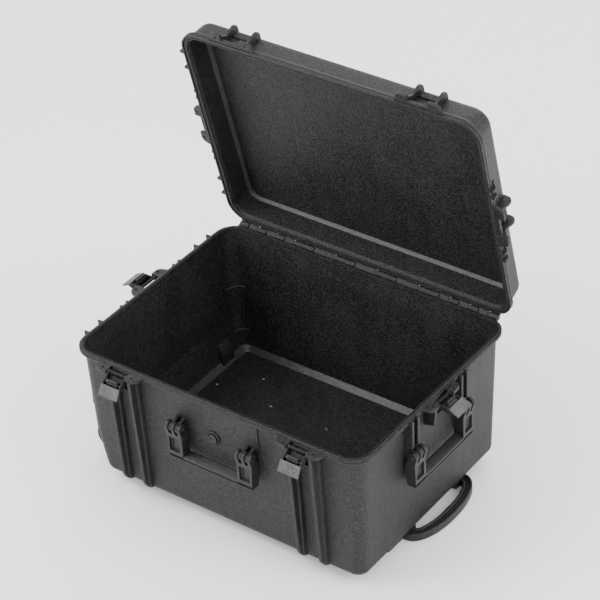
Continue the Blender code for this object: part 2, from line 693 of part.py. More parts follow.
def build_handle(name, matrix):
    """Carrying handle with forked legs, and its two pins."""
    pivot = pivot_empty("handle_axis_" + name, matrix, HANDLE_PIVOT_OUT, HANDLE_PIVOT_UP, 0.0)
    inner = HANDLE_INNER_OUT - HANDLE_PIVOT_OUT
    outer = HANDLE_OUTER_OUT - HANDLE_PIVOT_OUT
    legs_end = HANDLE_HALF - HANDLE_LEG
    profile = [(inner + 0.004, -HANDLE_DROP), (outer - 0.006, -HANDLE_DROP), (outer, -HANDLE_DROP + 0.005),
               (outer, -0.014), (LUG_RADIUS, -0.004), (-LUG_RADIUS + 0.0015, -0.004), (inner, -0.022),
               (inner, -HANDLE_DROP + 0.006)]
    handle = add_object("handle_" + name, sideways(profile, -HANDLE_HALF, HANDLE_HALF),
                        (BLACK_TRIM, 0.5, 0.0))
    sill = HANDLE_BAR_FRONT - HANDLE_DROP + HANDLE_BAR_SLOPE * outer
    opening = [(-0.03, sill + HANDLE_BAR_SLOPE * 0.03), (0.03, sill - HANDLE_BAR_SLOPE * 0.03), (0.03, 0.03),
               (-0.03, 0.03)]
    combine(handle, [add_object("opening", sideways(opening, -legs_end, legs_end))], "DIFFERENCE")
    barrels = []
    for sign in (-1, 1):
        low, high = sorted((sign * legs_end, sign * HANDLE_HALF))
        ring = circle(0, 0, LUG_RADIUS, 14)
        barrels.append(add_object("barrel", sideways(ring, low + 0.00001, high - 0.00001)))
    combine(handle, barrels, "UNION")
    cuts = []
    for side in lug_sides():
        half = LUG_WIDTH / 2 + LUG_GAP
        slot = box(-0.03, 0.03, -LUG_RADIUS - 0.0035, 0.02)
        cuts.append(add_object("slot", sideways(slot, side - half, side + half)))
    for sign in (-1, 1):
        low, high = sorted((sign * (legs_end + 0.006), sign * (HANDLE_HALF - 0.005)))
        window = outward(box(low, high, -HANDLE_DROP + 0.020, -0.0185), outer - 0.006, outer + 0.01)
        cuts.append(add_object("window", window))
    bore = sideways(circle(0, 0, HANDLE_PIN_RADIUS + GAP, 12), -HANDLE_HALF + 0.003, HANDLE_HALF - 0.003)
    cuts.append(add_object("bore", bore))
    combine(handle, cuts, "DIFFERENCE")
    handle.parent = pivot
    shade(handle)
    for sign, end in ((-1, "a"), (1, "b")):
        low, high = sorted((sign * (legs_end + 0.0005), sign * (HANDLE_HALF - 0.0035)))
        pin = add_object("handle_pin_" + name + "_" + end,
                         sideways(circle(0, 0, HANDLE_PIN_RADIUS, 10), low, high), (STEEL, 0.3, 1.0))
        pin.parent = pivot
        shade(pin)


def build_valve():
    """Round pressure valve on the front wall: body with its stem, and cap."""
    matrix = station(0)
    wall = wall_out(VALVE_UP + VALVE_RADIUS) + GAP
    disc = outward(circle(VALVE_X, VALVE_UP, VALVE_RADIUS, 24), wall, VALVE_OUT)
    body = add_object("pressure_valve_body", disc, (BLACK_TRIM, 0.5, 0.0), matrix)
    stem = outward(circle(VALVE_X, VALVE_UP, VALVE_CAP_RADIUS - 0.0025, 16), wall - 0.0040, wall + 0.001)
    seat_ring = circle(VALVE_X, VALVE_UP, VALVE_CAP_RADIUS + GAP, 20)
    seat = outward(seat_ring, VALVE_OUT - 0.002, VALVE_OUT + 0.01)
    combine(body, [add_object("stem", stem, matrix=matrix)], "UNION")
    combine(body, [add_object("seat", seat, matrix=matrix)], "DIFFERENCE")
    shade(body)
    cap_ring = circle(VALVE_X, VALVE_UP, VALVE_CAP_RADIUS, 20)
    cap = outward(cap_ring, VALVE_OUT - 0.002 + GAP, VALVE_OUT + 0.0008)
    shade(add_object("pressure_valve_cap", cap, (BLACK_TRIM, 0.45, 0.0), matrix))


def rounded_tube(half_y, half_z, wall):
    """Outer and inner outlines of a tube with clipped corners."""
    def outline(y, z):
        clip = 0.35 * z
        return [(-y, clip - z), (clip - y, -z), (y - clip, -z), (y, clip - z),
                (y, z - clip), (y - clip, z), (clip - y, z), (-y, z - clip)]
    return outline(half_y, half_z), outline(half_y - wall, half_z - wall)


def tube(start, end, centre_y, size):
    """Straight open tube along X."""
    outer, inner = rounded_tube(size[0], size[1], TUBE_WALL)
    rows = [[Vector((x, centre_y + y, TUBE_Z + z)) for y, z in outline]
            for x, outline in ((start, outer), (end, outer), (end, inner), (start, inner))]
    return loft(rows, looped=True)


def tube_sides():
    """The two tubes' places along Y, keyed by name."""
    return {"front": TROLLEY_Y - TUBE_SIDE, "rear": TROLLEY_Y + TUBE_SIDE}


def tray_pockets():
    """Hollows in the tray's top: one between the tubes, the rest between the front screws."""
    middle_low = TROLLEY_Y - TUBE_SIDE + OUTER_TUBE[0] + TRAY_WEB
    middle_high = TROLLEY_Y + TUBE_SIDE - OUTER_TUBE[0] - TRAY_WEB - 2 * TRAY_POST
    pockets = [box(TUBE_START, 0.2, middle_low, middle_high)]
    front_x = sorted({x for x, _ in TRAY_SCREWS})
    for low, high in zip(front_x, front_x[1:]):
        pockets.append(box(low + TRAY_POST, high - TRAY_POST, TRAY_LOW_Y + TRAY_WEB,
                           TROLLEY_Y - TUBE_SIDE - OUTER_TUBE[0] - TRAY_WEB))
    return pockets


def build_tray():
    """Tray under the floor that houses the trolley's tubes."""
    outline = box(TRAY_START, TRAY_END, TRAY_LOW_Y, TRAY_HIGH_Y)
    tray = add_object("trolley_tray", plan(outline, 0.0, GROUND_GAP - GAP), (BLACK_TRIM, 0.6, 0.0))
    cuts = []
    for y in tube_sides().values():
        half_y, half_z = OUTER_TUBE
        channel = box(TUBE_START - GAP, TUBE_END + 0.001, y - half_y - GAP, y + half_y + GAP)
        cuts.append(add_object("channel", plan(channel, TUBE_Z - half_z - GAP, GROUND_GAP + 0.005)))
        mouth = box(TUBE_END, TRAY_END + 0.01, y - MOUTH_HALF, y + MOUTH_HALF)
        cuts.append(add_object("mouth", plan(mouth, -0.005, GROUND_GAP + 0.005)))
    notch = box(TRAY_NOTCH, TRAY_END + 0.01, TROLLEY_Y - TRAY_NOTCH_HALF, TROLLEY_Y + TRAY_NOTCH_HALF)
    cuts.append(add_object("notch", plan(notch, -0.005, GROUND_GAP + 0.005)))
    for x, y in TRAY_SCREWS:
        cuts.append(add_object("screw_hole", plan(circle(x, y, SCREW_SHANK_RADIUS + GAP, 8), 0.006, 0.030)))
    for pocket in tray_pockets():
        cuts.append(add_object("pocket", plan(pocket, TRAY_FLOOR, GROUND_GAP + 0.005)))
    combine(tray, cuts, "DIFFERENCE")
    shade(tray)


def arc_outline(start, reach, half):
    """Rounded D outline that bulges towards +X, as (x, y) points."""
    points = []
    for step in range(17):
        turn = -math.pi / 2 + math.pi * step / 16
        x = start + reach * abs(math.cos(turn)) ** (2 / GRIP_POWER)
        y = half * math.copysign(abs(math.sin(turn)) ** (2 / GRIP_POWER), math.sin(turn))
        points.append((x, TROLLEY_Y + y))
    return points


def build_trolley():
    """Telescopic handle: fixed tubes, sliding tubes, grip and release button."""
    build_tray()
    for end, y in tube_sides().items():
        outer_tube = tube(TUBE_START, TUBE_END, y, OUTER_TUBE)
        inner_tube = tube(TUBE_START + 0.012, GRIP_ARC_START - 0.004, y, INNER_TUBE)
        shade(add_object("trolley_outer_tube_" + end, outer_tube, (ALUMINIUM, 0.35, 1.0)))
        shade(add_object("trolley_inner_tube_" + end, inner_tube, (ALUMINIUM, 0.3, 1.0)))
    low_y = TROLLEY_Y - GRIP_HALF
    high_y = TROLLEY_Y + GRIP_HALF
    outer = [(GRIP_ROOT, low_y)] + arc_outline(GRIP_ARC_START, GRIP_REACH, GRIP_HALF) + [(GRIP_ROOT, high_y)]
    hole = [(GRIP_ROOT - 0.01, TROLLEY_Y - GRIP_HOLE_HALF)]
    hole += arc_outline(GRIP_HOLE_START, GRIP_HOLE_REACH, GRIP_HOLE_HALF)
    hole.append((GRIP_ROOT - 0.01, TROLLEY_Y + GRIP_HOLE_HALF))
    grip = add_object("trolley_grip", plan(outer, GRIP_BOTTOM, GRIP_TOP), (BLACK_TRIM, 0.5, 0.0))
    cuts = [add_object("hole", plan(hole, -0.01, 0.04))]
    for y in tube_sides().values():
        half_y, half_z = INNER_TUBE
        socket = plan(box(GRIP_ROOT - 0.01, GRIP_ARC_START - 0.0035, y - half_y - GAP, y + half_y + GAP),
                      TUBE_Z - half_z - GAP, TUBE_Z + half_z + GAP)
        cuts.append(add_object("socket", socket))
    inside = GRIP_HOLE_START + GRIP_HOLE_REACH
    pocket = box(inside - 0.01, inside + 0.010, TROLLEY_Y - BUTTON_HALF - GAP, TROLLEY_Y + BUTTON_HALF + GAP)
    cuts.append(add_object("pocket", plan(pocket, GRIP_BOTTOM + 0.004, GRIP_TOP - 0.004)))
    combine(grip, cuts, "DIFFERENCE")
    shade(grip)
    button = box(inside - 0.004, inside + 0.010 - BUTTON_TRAVEL - GAP,
                 TROLLEY_Y - BUTTON_HALF, TROLLEY_Y + BUTTON_HALF)
    shade(add_object("trolley_button", plan(button, GRIP_BOTTOM + 0.004 + GAP, GRIP_TOP - 0.004 - GAP),
                     (GREY_LEVER, 0.5, 0.0)))


def build_screws():
    """Screws in shallow seats in the floor: the long ones hold the tray."""
    seat = GROUND_GAP + FLOOR_THICKNESS - SCREW_SEAT_DEPTH + GAP
    for number, (x, y) in enumerate(TRAY_SCREWS + WALL_SCREWS, start=1):
        tip = 0.0065 if (x, y) in TRAY_SCREWS else GROUND_GAP + 0.0005
        rings = []
        for radius, z in ((SCREW_SHANK_RADIUS, tip), (SCREW_SHANK_RADIUS, seat), (SCREW_HEAD_RADIUS, seat),
                          (SCREW_HEAD_RADIUS, seat + 0.0012), (SCREW_HEAD_RADIUS * 0.6, seat + 0.0026)):
            rings.append([Vector((x + a, y + b, z)) for a, b in circle(0, 0, radius, 10)])
        shade(add_object("floor_screw_%d" % number, loft(rings), (STEEL, 0.35, 1.0)))


def build_wheels():
    """Two wheels at the lower left edge: tyre, hub and axle each."""
    for sign, end in ((-1, "front"), (1, "rear")):
        middle = sign * WHEEL_Y
        tyre_profile = [(HUB_RADIUS + GAP, -WHEEL_HALF + 0.002), (WHEEL_RADIUS - 0.003, -WHEEL_HALF + 0.001),
                        (WHEEL_RADIUS, -WHEEL_HALF + 0.005), (WHEEL_RADIUS, WHEEL_HALF - 0.005),
                        (WHEEL_RADIUS - 0.003, WHEEL_HALF - 0.001), (HUB_RADIUS + GAP, WHEEL_HALF - 0.002)]
        hub_profile = [(AXLE_RADIUS + GAP, -WHEEL_HALF), (0.009, -WHEEL_HALF), (0.010, -WHEEL_HALF + 0.004),
                       (HUB_RADIUS, -WHEEL_HALF + 0.003), (HUB_RADIUS, WHEEL_HALF - 0.003),
                       (0.010, WHEEL_HALF - 0.004), (0.009, WHEEL_HALF), (AXLE_RADIUS + GAP, WHEEL_HALF)]
        for name, profile, look in (("tyre_", tyre_profile, (RUBBER, 0.75, 0.0)),
                                    ("wheel_hub_", hub_profile, (BLACK_TRIM, 0.5, 0.0))):
            rows = [[Vector((a, y, b)) for a, b in circle(0, 0, radius, 20)] for radius, y in profile]
            wheel = add_object(name + end, loft(rows, looped=True), look)
            wheel.location = (WHEEL_X, middle, WHEEL_Z)
            shade(wheel)
        reach = WELL_HALF + WELL_WALL + 0.001
        axle = along_y(0, 0, AXLE_RADIUS, -reach, reach, 14)
        axle_object = add_object("axle_" + end, axle, (STEEL, 0.3, 1.0))
        axle_object.location = (WHEEL_X, middle, WHEEL_Z)
        shade(axle_object)


def build():
    """Build the whole case."""
    clear_scene()
    build_base()
    axis = lid_axis()
    build_lid(axis)
    build_gasket(axis)
    build_hinge_pin()
    for name, (matrix, open_angle) in LATCHES.items():
        build_latch(name, matrix, open_angle)
    for name, matrix in HANDLES.items():
        build_handle(name, matrix)
    build_valve()
    build_trolley()
    build_screws()
    build_wheels()


build()
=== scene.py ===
"""Looks of the open rolling equipment case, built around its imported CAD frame.

Everything is in metres, in the row's frame: X along the front, +Y towards the hinge, +Z up. Wall
features are drawn in a station frame: side = along the wall, out = away from the inner rim line,
up = above the rim plane. The lid is drawn closed and then opened about its hinge.
"""

import json
import math

import bmesh
import bpy
from mathutils import Matrix, Vector


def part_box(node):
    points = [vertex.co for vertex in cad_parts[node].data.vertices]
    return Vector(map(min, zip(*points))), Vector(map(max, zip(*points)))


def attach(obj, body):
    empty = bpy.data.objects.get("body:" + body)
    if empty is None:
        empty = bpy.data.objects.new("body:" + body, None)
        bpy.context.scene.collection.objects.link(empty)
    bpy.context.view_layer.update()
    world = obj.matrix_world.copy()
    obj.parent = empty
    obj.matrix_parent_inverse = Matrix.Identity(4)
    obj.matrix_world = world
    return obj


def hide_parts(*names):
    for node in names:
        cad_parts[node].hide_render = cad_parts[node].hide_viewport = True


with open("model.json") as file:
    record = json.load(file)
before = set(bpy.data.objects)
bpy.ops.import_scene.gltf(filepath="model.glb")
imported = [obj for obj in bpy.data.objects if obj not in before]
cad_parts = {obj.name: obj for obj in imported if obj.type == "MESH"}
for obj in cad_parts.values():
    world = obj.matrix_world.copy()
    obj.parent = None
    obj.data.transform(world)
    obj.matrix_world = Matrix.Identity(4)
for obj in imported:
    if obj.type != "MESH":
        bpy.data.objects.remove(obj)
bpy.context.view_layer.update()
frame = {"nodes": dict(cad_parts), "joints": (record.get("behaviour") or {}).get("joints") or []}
joints = {joint["name"]: joint for joint in frame["joints"]}

# Places taken from the frame
HINGE_DROP = 0.0036
HINGE_OUT = 0.0174
LATCH_PIVOT_OUT = 0.02
HINGE_X, HINGE_Y, HINGE_Z = joints["lid_hinge"]["pos_m"]
LID_OPEN = math.radians(joints["lid_hinge"]["range_deg"][1])
RIM_Z = HINGE_Z + HINGE_DROP
HALF_X = joints["latch_right_end_pivot"]["pos_m"][0] - LATCH_PIVOT_OUT
HALF_Y = HINGE_Y - HINGE_OUT
LATCH_X = joints["latch_front_right_pivot"]["pos_m"][0]
GROUND_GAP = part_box("trolley_tray")[1].z + 0.0003
BASE_HEIGHT = RIM_Z - GROUND_GAP

# Shells
CORNER_RADIUS = 0.033
CORNER_STEPS = 14
WALL_OUT_TOP = 0.0005
WALL_OUT_BOTTOM = -0.01
WALL_THICKNESS = 0.004
FLOOR_THICKNESS = 0.0048
BOTTOM_FILLET = 0.019
FLOOR_CHAMFER = 0.0105
SCREW_HOLE_RADIUS = 0.0023
SCREW_SEAT_RADIUS = 0.005
SCREW_SEAT_DEPTH = 0.0006
FLANGE_OUT = 0.01
FLANGE_DEPTH = 0.009
TONGUE_OUT = 0.0055
TONGUE_HEIGHT = 0.0015
CHAMFER_HEIGHT = 0.085
CHAMFER_INSET = 0.014
LOW_LEDGE = 0.05
HIGH_LEDGE = 0.149
WHEEL_CLEARANCE = 0.0035
AXLE_BORE = 0.0043
LID_HEIGHT = 0.056
LID_WALL_OUT = 0.0027
LID_WALL = 0.0038
LID_DRAFT = 0.004
LID_FILLET = 0.014
LID_INNER_CHAMFER = 0.006
LID_FRAME_X = 0.152
LID_FRAME_HALF = (0.118, 0.172)
LID_FRAME_BORDER = 0.012
GAP = 0.0003

# Hinge knuckles
KNUCKLE_RADIUS = 0.006
KNUCKLE_GAP = 0.0008
LEAF_INNER = 0.0066
LEAF_OUTER = 0.009
KNUCKLES = [0.0214] * 6 + [0.0472] * 7 + [0.0214] * 6

# Latch fittings
LATCH_PIVOT_UP = -0.007
LEVER_HALF_WIDTH = 0.0205
HOOK_TURN = 0.08
BOSS_SIDE = 0.033
BOSS_OUT = 0.0215
BOSS_HOLE_RADIUS = 0.0021
BOSS_DRILL = (-0.012, 0.012)
BRACKET_OUT = 0.029
BRACKET_HALF = 0.044
BRACKET_FOOT = 0.051
BRACKET_THICKNESS = 0.007
POCKET_HALF = 0.0215
POCKET_DEPTH = 0.05
LEDGE_OUT = 0.017
LEDGE_HEIGHT = 0.0065
CHEEK_OUT = 0.0285
FIN_SIDE = 0.0245
FIN_THICKNESS = 0.005
LID_ROOT_OUT = 0.0072

# Wall ribs
RIB_SIDE = 0.024
RIB_CREST_HALF = 0.0033
RIB_STEP_OUT = 0.0075
RIB_TOP_OUT = 0.0225
SIDE_RIBS = (0.07, 0.087)
END_RIBS = (0.144, 0.183)
SIDE_RIB_HALF = 0.003
SIDE_RIB_OUT = 0.016
END_RIB_OUT = 0.0225
SIDE_RIB_DEPTH = 0.066
END_RIB_DEPTH = 0.175
REAR_RIBS = (-0.215, -0.145, 0.145, 0.215)

# Handles
HANDLE_PIVOT_OUT = 0.0165
HANDLE_PIVOT_UP = -0.0785
HANDLE_HALF = 0.0955
HANDLE_LEG = 0.035
HANDLE_DROP = 0.067
HANDLE_INNER_OUT = 0.001
HANDLE_OUTER_OUT = 0.0226
LUG_RADIUS = 0.0092
LUG_WIDTH = 0.0062
LUG_VISIBLE = 0.008
LUG_PITCH = 0.0138
LUG_GAP = 0.0005
KNUCKLE_RING = 0.0104

STATIONS = {"front": 0, "right_end": 90, "left_end": -90}
LATCH_PLACES = {"front_left": (0, -LATCH_X), "front_right": (0, LATCH_X),
                "right_end": (90, 0), "left_end": (-90, 0)}
ENDS = {"right_end": SIDE_RIBS, "left_end": SIDE_RIBS + END_RIBS}
HALVES = ((-1, "a"), (1, "b"))
FRONT_REAR = ("front", "rear")
SCREWS = range(1, 11)

# Camera, fitted to the rim and the floor of the case, and lights: name, place, target, size, power
CAMERA_PLACE = (2.22364, -2.84101, 2.97077)
CAMERA_YAW_PITCH_ROLL = (37.697, 35.674, -3.3805)
CAMERA_LENS = 148.67
CAMERA_SENSOR = 36.0
MIDDLE = (0.0, 0.0, 0.25)
LIGHTS = (("key_above_left", (-1.6, -1.2, 2.6), MIDDLE, (1.8, 1.8), 74),
          ("fill_right", (2.8, 0.2, 1.5), MIDDLE, (1.6, 2.0), 70),
          ("rim_behind", (-0.4, 2.6, 2.2), MIDDLE, (2.4, 1.0), 48),
          ("low_front_left", (-1.47, -2.34, 1.38), (0.1, 0.25, 0.36), (1.2, 0.7), 24))
ROOM_LIGHT = 1.75


# ---------------------------------------------------------------- materials


class Nodes:
    """Short way to wire a material's nodes."""

    def __init__(self, name):
        self.material = bpy.data.materials.new(name)
        self.material.use_nodes = True
        self.tree = self.material.node_tree
        self.shader = self.tree.nodes["Principled BSDF"]
        coordinates = self.tree.nodes.new("ShaderNodeTexCoord")
        self.place = coordinates.outputs["Object"]

    def link(self, source, target):
        self.tree.links.new(source, target)

    def stretch(self, scale):
        """Object coordinates scaled along each axis."""
        mapping = self.tree.nodes.new("ShaderNodeMapping")
        mapping.inputs["Scale"].default_value = scale
        self.link(self.place, mapping.inputs["Vector"])
        return mapping.outputs["Vector"]

    def noise(self, scale, detail=3.0, roughness=0.55, place=None, distortion=0.0):
        node = self.tree.nodes.new("ShaderNodeTexNoise")
        node.inputs["Scale"].default_value = scale
        node.inputs["Detail"].default_value = detail
        node.inputs["Roughness"].default_value = roughness
        node.inputs["Distortion"].default_value = distortion
        self.link(place or self.place, node.inputs["Vector"])
        return node.outputs["Fac"]

    def cells(self, scale, feature="F1", place=None):
        node = self.tree.nodes.new("ShaderNodeTexVoronoi")
        node.feature = feature
        node.inputs["Scale"].default_value = scale
        self.link(place or self.place, node.inputs["Vector"])
        return node.outputs["Distance"]

    def ramp(self, value, low, high, out_low=0.0, out_high=1.0):
        node = self.tree.nodes.new("ShaderNodeMapRange")
        for socket, number in (("From Min", low), ("From Max", high), ("To Min", out_low),
                               ("To Max", out_high)):
            node.inputs[socket].default_value = number
        self.link(value, node.inputs["Value"])
        return node.outputs["Result"]

    def math(self, operation, first, second):
        node = self.tree.nodes.new("ShaderNodeMath")
        node.operation = operation
        for socket, value in zip(node.inputs, (first, second)):
            if isinstance(value, float):
                socket.default_value = value
            else:
                self.link(value, socket)
        return node.outputs["Value"]

    def weighted(self, first, share, second, other):
        """Sum of two values, each with its own weight."""
        return self.math("ADD", self.math("MULTIPLY", first, share), self.math("MULTIPLY", second, other))

    def mix(self, factor, first, second):
        node = self.tree.nodes.new("ShaderNodeMix")
        node.data_type = "RGBA"
        self.link(factor, node.inputs["Factor"])
        for socket, value in (("A", first), ("B", second)):
            target = [one for one in node.inputs if one.name == socket and one.type == "RGBA"][0]
            if isinstance(value, tuple):
                target.default_value = (*value, 1.0)
            else:
                self.link(value, target)
        return [one for one in node.outputs if one.type == "RGBA"][0]

    def bump(self, height, strength, distance, normal=None):
        node = self.tree.nodes.new("ShaderNodeBump")
        node.inputs["Strength"].default_value = strength
        node.inputs["Distance"].default_value = distance
        self.link(height, node.inputs["Height"])
        if normal is not None:
            self.link(normal, node.inputs["Normal"])
        return node.outputs["Normal"]

    def edges(self, radius):
        """How near a point is to a sharp edge: 0 on flat faces, up to 1 on edges."""
        soft = self.tree.nodes.new("ShaderNodeBevel")
        soft.samples = 4
        soft.inputs["Radius"].default_value = radius
        plain = self.tree.nodes.new("ShaderNodeNewGeometry")
        turn = self.tree.nodes.new("ShaderNodeVectorMath")
        turn.operation = "DOT_PRODUCT"
        self.link(soft.outputs["Normal"], turn.inputs[0])
        self.link(plain.outputs["Normal"], turn.inputs[1])
        return self.ramp(turn.outputs["Value"], 0.985, 0.8)

    def set(self, socket, value):
        if isinstance(value, (int, float)):
            self.shader.inputs[socket].default_value = value
        else:
            self.link(value, self.shader.inputs[socket])


def shade(tone, factor):
    """Neutral grey that is a little cool, as a multiple of a base tone."""
    value = min(0.9, tone * factor)
    return (value, value, value * 1.02)


def moulded_plastic(name, tone, rough_low, rough_high, grain=1.0, waves=0.35, scuffs=0.5, mottling=1.0):
    """Injection-moulded plastic: pebbled grain, flow streaks, cloudy tone, scuffs, and pale edges that
    are a painted highlight.
    """
    wire = Nodes(name)
    clouds = wire.noise(7.0, 4.0, 0.6, distortion=0.6)
    streaks = wire.noise(9.0, 4.0, 0.65, wire.stretch((3.6, 3.6, 0.45)), 0.5)
    drift = wire.weighted(clouds, 0.6, streaks, 0.4)
    color = wire.mix(wire.ramp(drift, 0.36, 0.64), shade(tone, 0.62), shade(tone, 1.55))
    mottle = wire.noise(270.0, 4.0, 0.75)
    color = wire.mix(wire.ramp(mottle, 0.4, 0.5, mottling, 0.0), color, shade(tone, 0.3))
    color = wire.mix(wire.ramp(mottle, 0.5, 0.61, 0.0, mottling), color, shade(tone, 2.5))
    scratches = wire.noise(46.0, 4.0, 0.75, wire.stretch((1.0, 1.0, 0.16)), 1.2)
    scuff = wire.math("MULTIPLY", wire.ramp(scratches, 0.62, 0.76), wire.ramp(clouds, 0.5, 0.66))
    color = wire.mix(wire.math("MULTIPLY", scuff, scuffs), color, shade(tone, 3.2))
    # Painted highlight: near sharp edges the colour is mixed towards a pale tone, broken up in patches,
    # standing in for light caught on the edges.
    highlight_breakup = wire.ramp(wire.noise(60.0, 4.0, 0.7), 0.34, 0.62, 0.25, 1.0)
    painted_edge_highlight = wire.math("MULTIPLY", wire.edges(0.0011), highlight_breakup)
    color = wire.mix(painted_edge_highlight, color, shade(tone, 3.0))
    wire.set("Base Color", color)
    fine = wire.noise(1500.0, 2.0, 0.6)
    gloss = wire.weighted(drift, 0.7, fine, 0.3)
    wire.set("Roughness", wire.ramp(gloss, 0.36, 0.64, rough_low, rough_high))
    pebble = wire.weighted(wire.cells(520.0), 1.0, wire.noise(950.0, 2.0, 0.6), 0.6)
    grained = wire.bump(pebble, 0.9 * grain, 0.0005)
    wire.set("Normal", wire.bump(wire.weighted(streaks, 1.0, clouds, 0.8), waves, 0.0028, grained))
    wire.set("Specular IOR Level", 0.27)
    return wire.material


def turned_steel(name, tone):
    """Zinc-plated steel with fine turning marks."""
    wire = Nodes(name)
    marks = wire.noise(900.0, 3.0, 0.6, wire.stretch((1.0, 1.0, 0.3)))
    spots = wire.noise(180.0, 4.0, 0.6)
    bright = (tone, tone, tone * 1.01)
    wire.set("Base Color", wire.mix(wire.ramp(spots, 0.35, 0.7), bright,
                                    tuple(value * 0.62 for value in bright)))
    wire.set("Metallic", 1.0)
    wire.set("Roughness", wire.ramp(marks, 0.3, 0.7, 0.22, 0.48))
    wire.set("Normal", wire.bump(marks, 0.25, 0.0001))
    return wire.material


def anodised_aluminium(name):
    """Aluminium tube drawn along X: fine lines along its length."""
    wire = Nodes(name)
    lines = wire.noise(260.0, 3.0, 0.65, wire.stretch((0.02, 4.0, 4.0)))
    haze = wire.noise(30.0, 3.0, 0.6)
    wire.set("Base Color", wire.mix(wire.ramp(haze, 0.3, 0.7), (0.44, 0.45, 0.46), (0.36, 0.37, 0.38)))
    wire.set("Metallic", 1.0)
    wire.set("Roughness", wire.ramp(lines, 0.3, 0.7, 0.28, 0.44))
    wire.set("Normal", wire.bump(lines, 0.3, 0.00008))
    return wire.material


def soft_rubber(name, tone, dust):
    """Matte rubber with fine pores and pale dust in patches."""
    wire = Nodes(name)
    patches = wire.noise(34.0, 5.0, 0.65)
    wire.set("Base Color", wire.mix(wire.ramp(patches, 0.42, 0.74, 0.0, dust), (tone, tone, tone * 1.02),
                                    (0.16, 0.155, 0.15)))
    wire.set("Roughness", wire.ramp(patches, 0.3, 0.7, 0.66, 0.88))
    pores = wire.weighted(wire.noise(900.0, 3.0, 0.7), 1.0, wire.cells(600.0), 0.5)
    wire.set("Normal", wire.bump(pores, 0.4, 0.00018))
    return wire.material


def floor_material():
    """Plain pale studio floor with hardly any tone of its own."""
    wire = Nodes("studio_floor")
    haze = wire.noise(1.3, 2.0, 0.5)
    wire.set("Base Color", wire.mix(haze, (0.9, 0.9, 0.9), (0.93, 0.93, 0.93)))
    wire.set("Roughness", 0.85)
    wire.set("Specular IOR Level", 0.1)
    return wire.material


LOOKS = {
    "shell": moulded_plastic("shell_plastic", 0.0098, 0.42, 0.62),
    "trim": moulded_plastic("trim_plastic", 0.0115, 0.38, 0.56, 0.6, 0.2, 0.3, 0.6),
    # Recess look: a darker plastic used as painted shade in the latch pockets and on the lever's arms,
    # back and barrel.
    "recess": moulded_plastic("recess_plastic", 0.0045, 0.55, 0.75, 0.5, 0.2, 0.1),
    # Strip look: a paler, glossier plastic whose pale colour is a painted highlight on chamfers and
    # corner ledges.
    "strip": moulded_plastic("smooth_strip_plastic", 0.03, 0.26, 0.4, 0.4, 0.3, 0.6, 0.4),
    "latch_grey": moulded_plastic("lever_plastic", 0.054, 0.36, 0.52, 0.6, 0.2, 0.4, 0.3),
    "steel": turned_steel("plated_steel", 0.4),
    "dark_steel": turned_steel("blackened_steel", 0.1),
    "screw_steel": turned_steel("screw_steel", 0.24),
    "aluminium": anodised_aluminium("drawn_aluminium"),
    "rubber": soft_rubber("tyre_rubber", 0.01, 0.35),
}
SEAL = soft_rubber("seal_rubber", 0.008, 0.1)


# ---------------------------------------------------------------- mesh helpers


def loft(rings, looped=False):
    """Join rings of equal length into a closed body, or into a torus when looped."""
    bm = bmesh.new()
    rows = [[bm.verts.new(point) for point in one] for one in rings]
    count = len(rows[0])
    followers = rows[1:] + rows[:1] if looped else rows[1:]
    for row, follower in zip(rows, followers):
        for index in range(count):
            after = (index + 1) % count
            bm.faces.new((row[index], row[after], follower[after], follower[index]))
    if not looped:
        bm.faces.new(list(reversed(rows[0])))
        bm.faces.new(rows[-1])
    return bm


def rounded(points, steps=4, closed=True):
    """Outline from (a, b, radius) corners, each turned into a small curve."""
    result = []
    count = len(points)
    for index, (a, b, radius) in enumerate(points):
        here = Vector((a, b))
        if radius == 0.0 or (not closed and index in (0, count - 1)):
            result.append((a, b))
            continue
        back = Vector(points[index - 1][:2]) - here
        ahead = Vector(points[(index + 1) % count][:2]) - here
        reach = min(radius, back.length * 0.48, ahead.length * 0.48)
        start = here + back.normalized() * reach
        end = here + ahead.normalized() * reach
        for step in range(steps + 1):
            t = step / steps
            point = start * (1 - t) ** 2 + here * (2 * t * (1 - t)) + end * t ** 2
            result.append((point.x, point.y))
    return result


def eased(outline, radius, steps=3):
    """The same outline with one radius at every corner."""
    return rounded([(a, b, radius) for a, b in outline], steps)


def circle(a, b, radius, steps):
    turns = [2 * math.pi * step / steps for step in range(steps)]
    return [(a + radius * math.cos(turn), b + radius * math.sin(turn)) for turn in turns]


def rectangle(low_a, high_a, low_b, high_b):
    return [(low_a, low_b), (high_a, low_b), (high_a, high_b), (low_a, high_b)]


def sideways(outline, low, high):
    """Extrude an (out, up) outline along the wall."""
    return loft([[Vector((side, -out, up)) for out, up in outline] for side in (low, high)])


def upright(outline, low, high):
    """Extrude a (side, out) outline upwards."""
    return loft([[Vector((side, -out, up)) for side, out in outline] for up in (low, high)])


def outward(outline, low, high):
    """Extrude a (side, up) outline away from the wall."""
    return loft([[Vector((side, -out, up)) for side, up in outline] for out in (low, high)])


def plan(outline, low, high):
    """Extrude an (x, y) outline upwards."""
    return loft([[Vector((x, y, z)) for x, y in outline] for z in (low, high)])


def crosswise(outline, low, high):
    """Extrude an (x, z) outline along Y."""
    return loft([[Vector((x, y, z)) for x, z in outline] for y in (low, high)])


def lengthwise(outline, low, high):
    """Extrude a (y, z) outline along X."""
    return loft([[Vector((x, y, z)) for y, z in outline] for x in (low, high)])


def around(radius, along, turn, axis):
    """Point at a turn about the side, out or up axis."""
    a, b = radius * math.cos(turn), radius * math.sin(turn)
    return Vector({"side": (along, a, b), "out": (a, -along, b), "up": (a, b, along)}[axis])


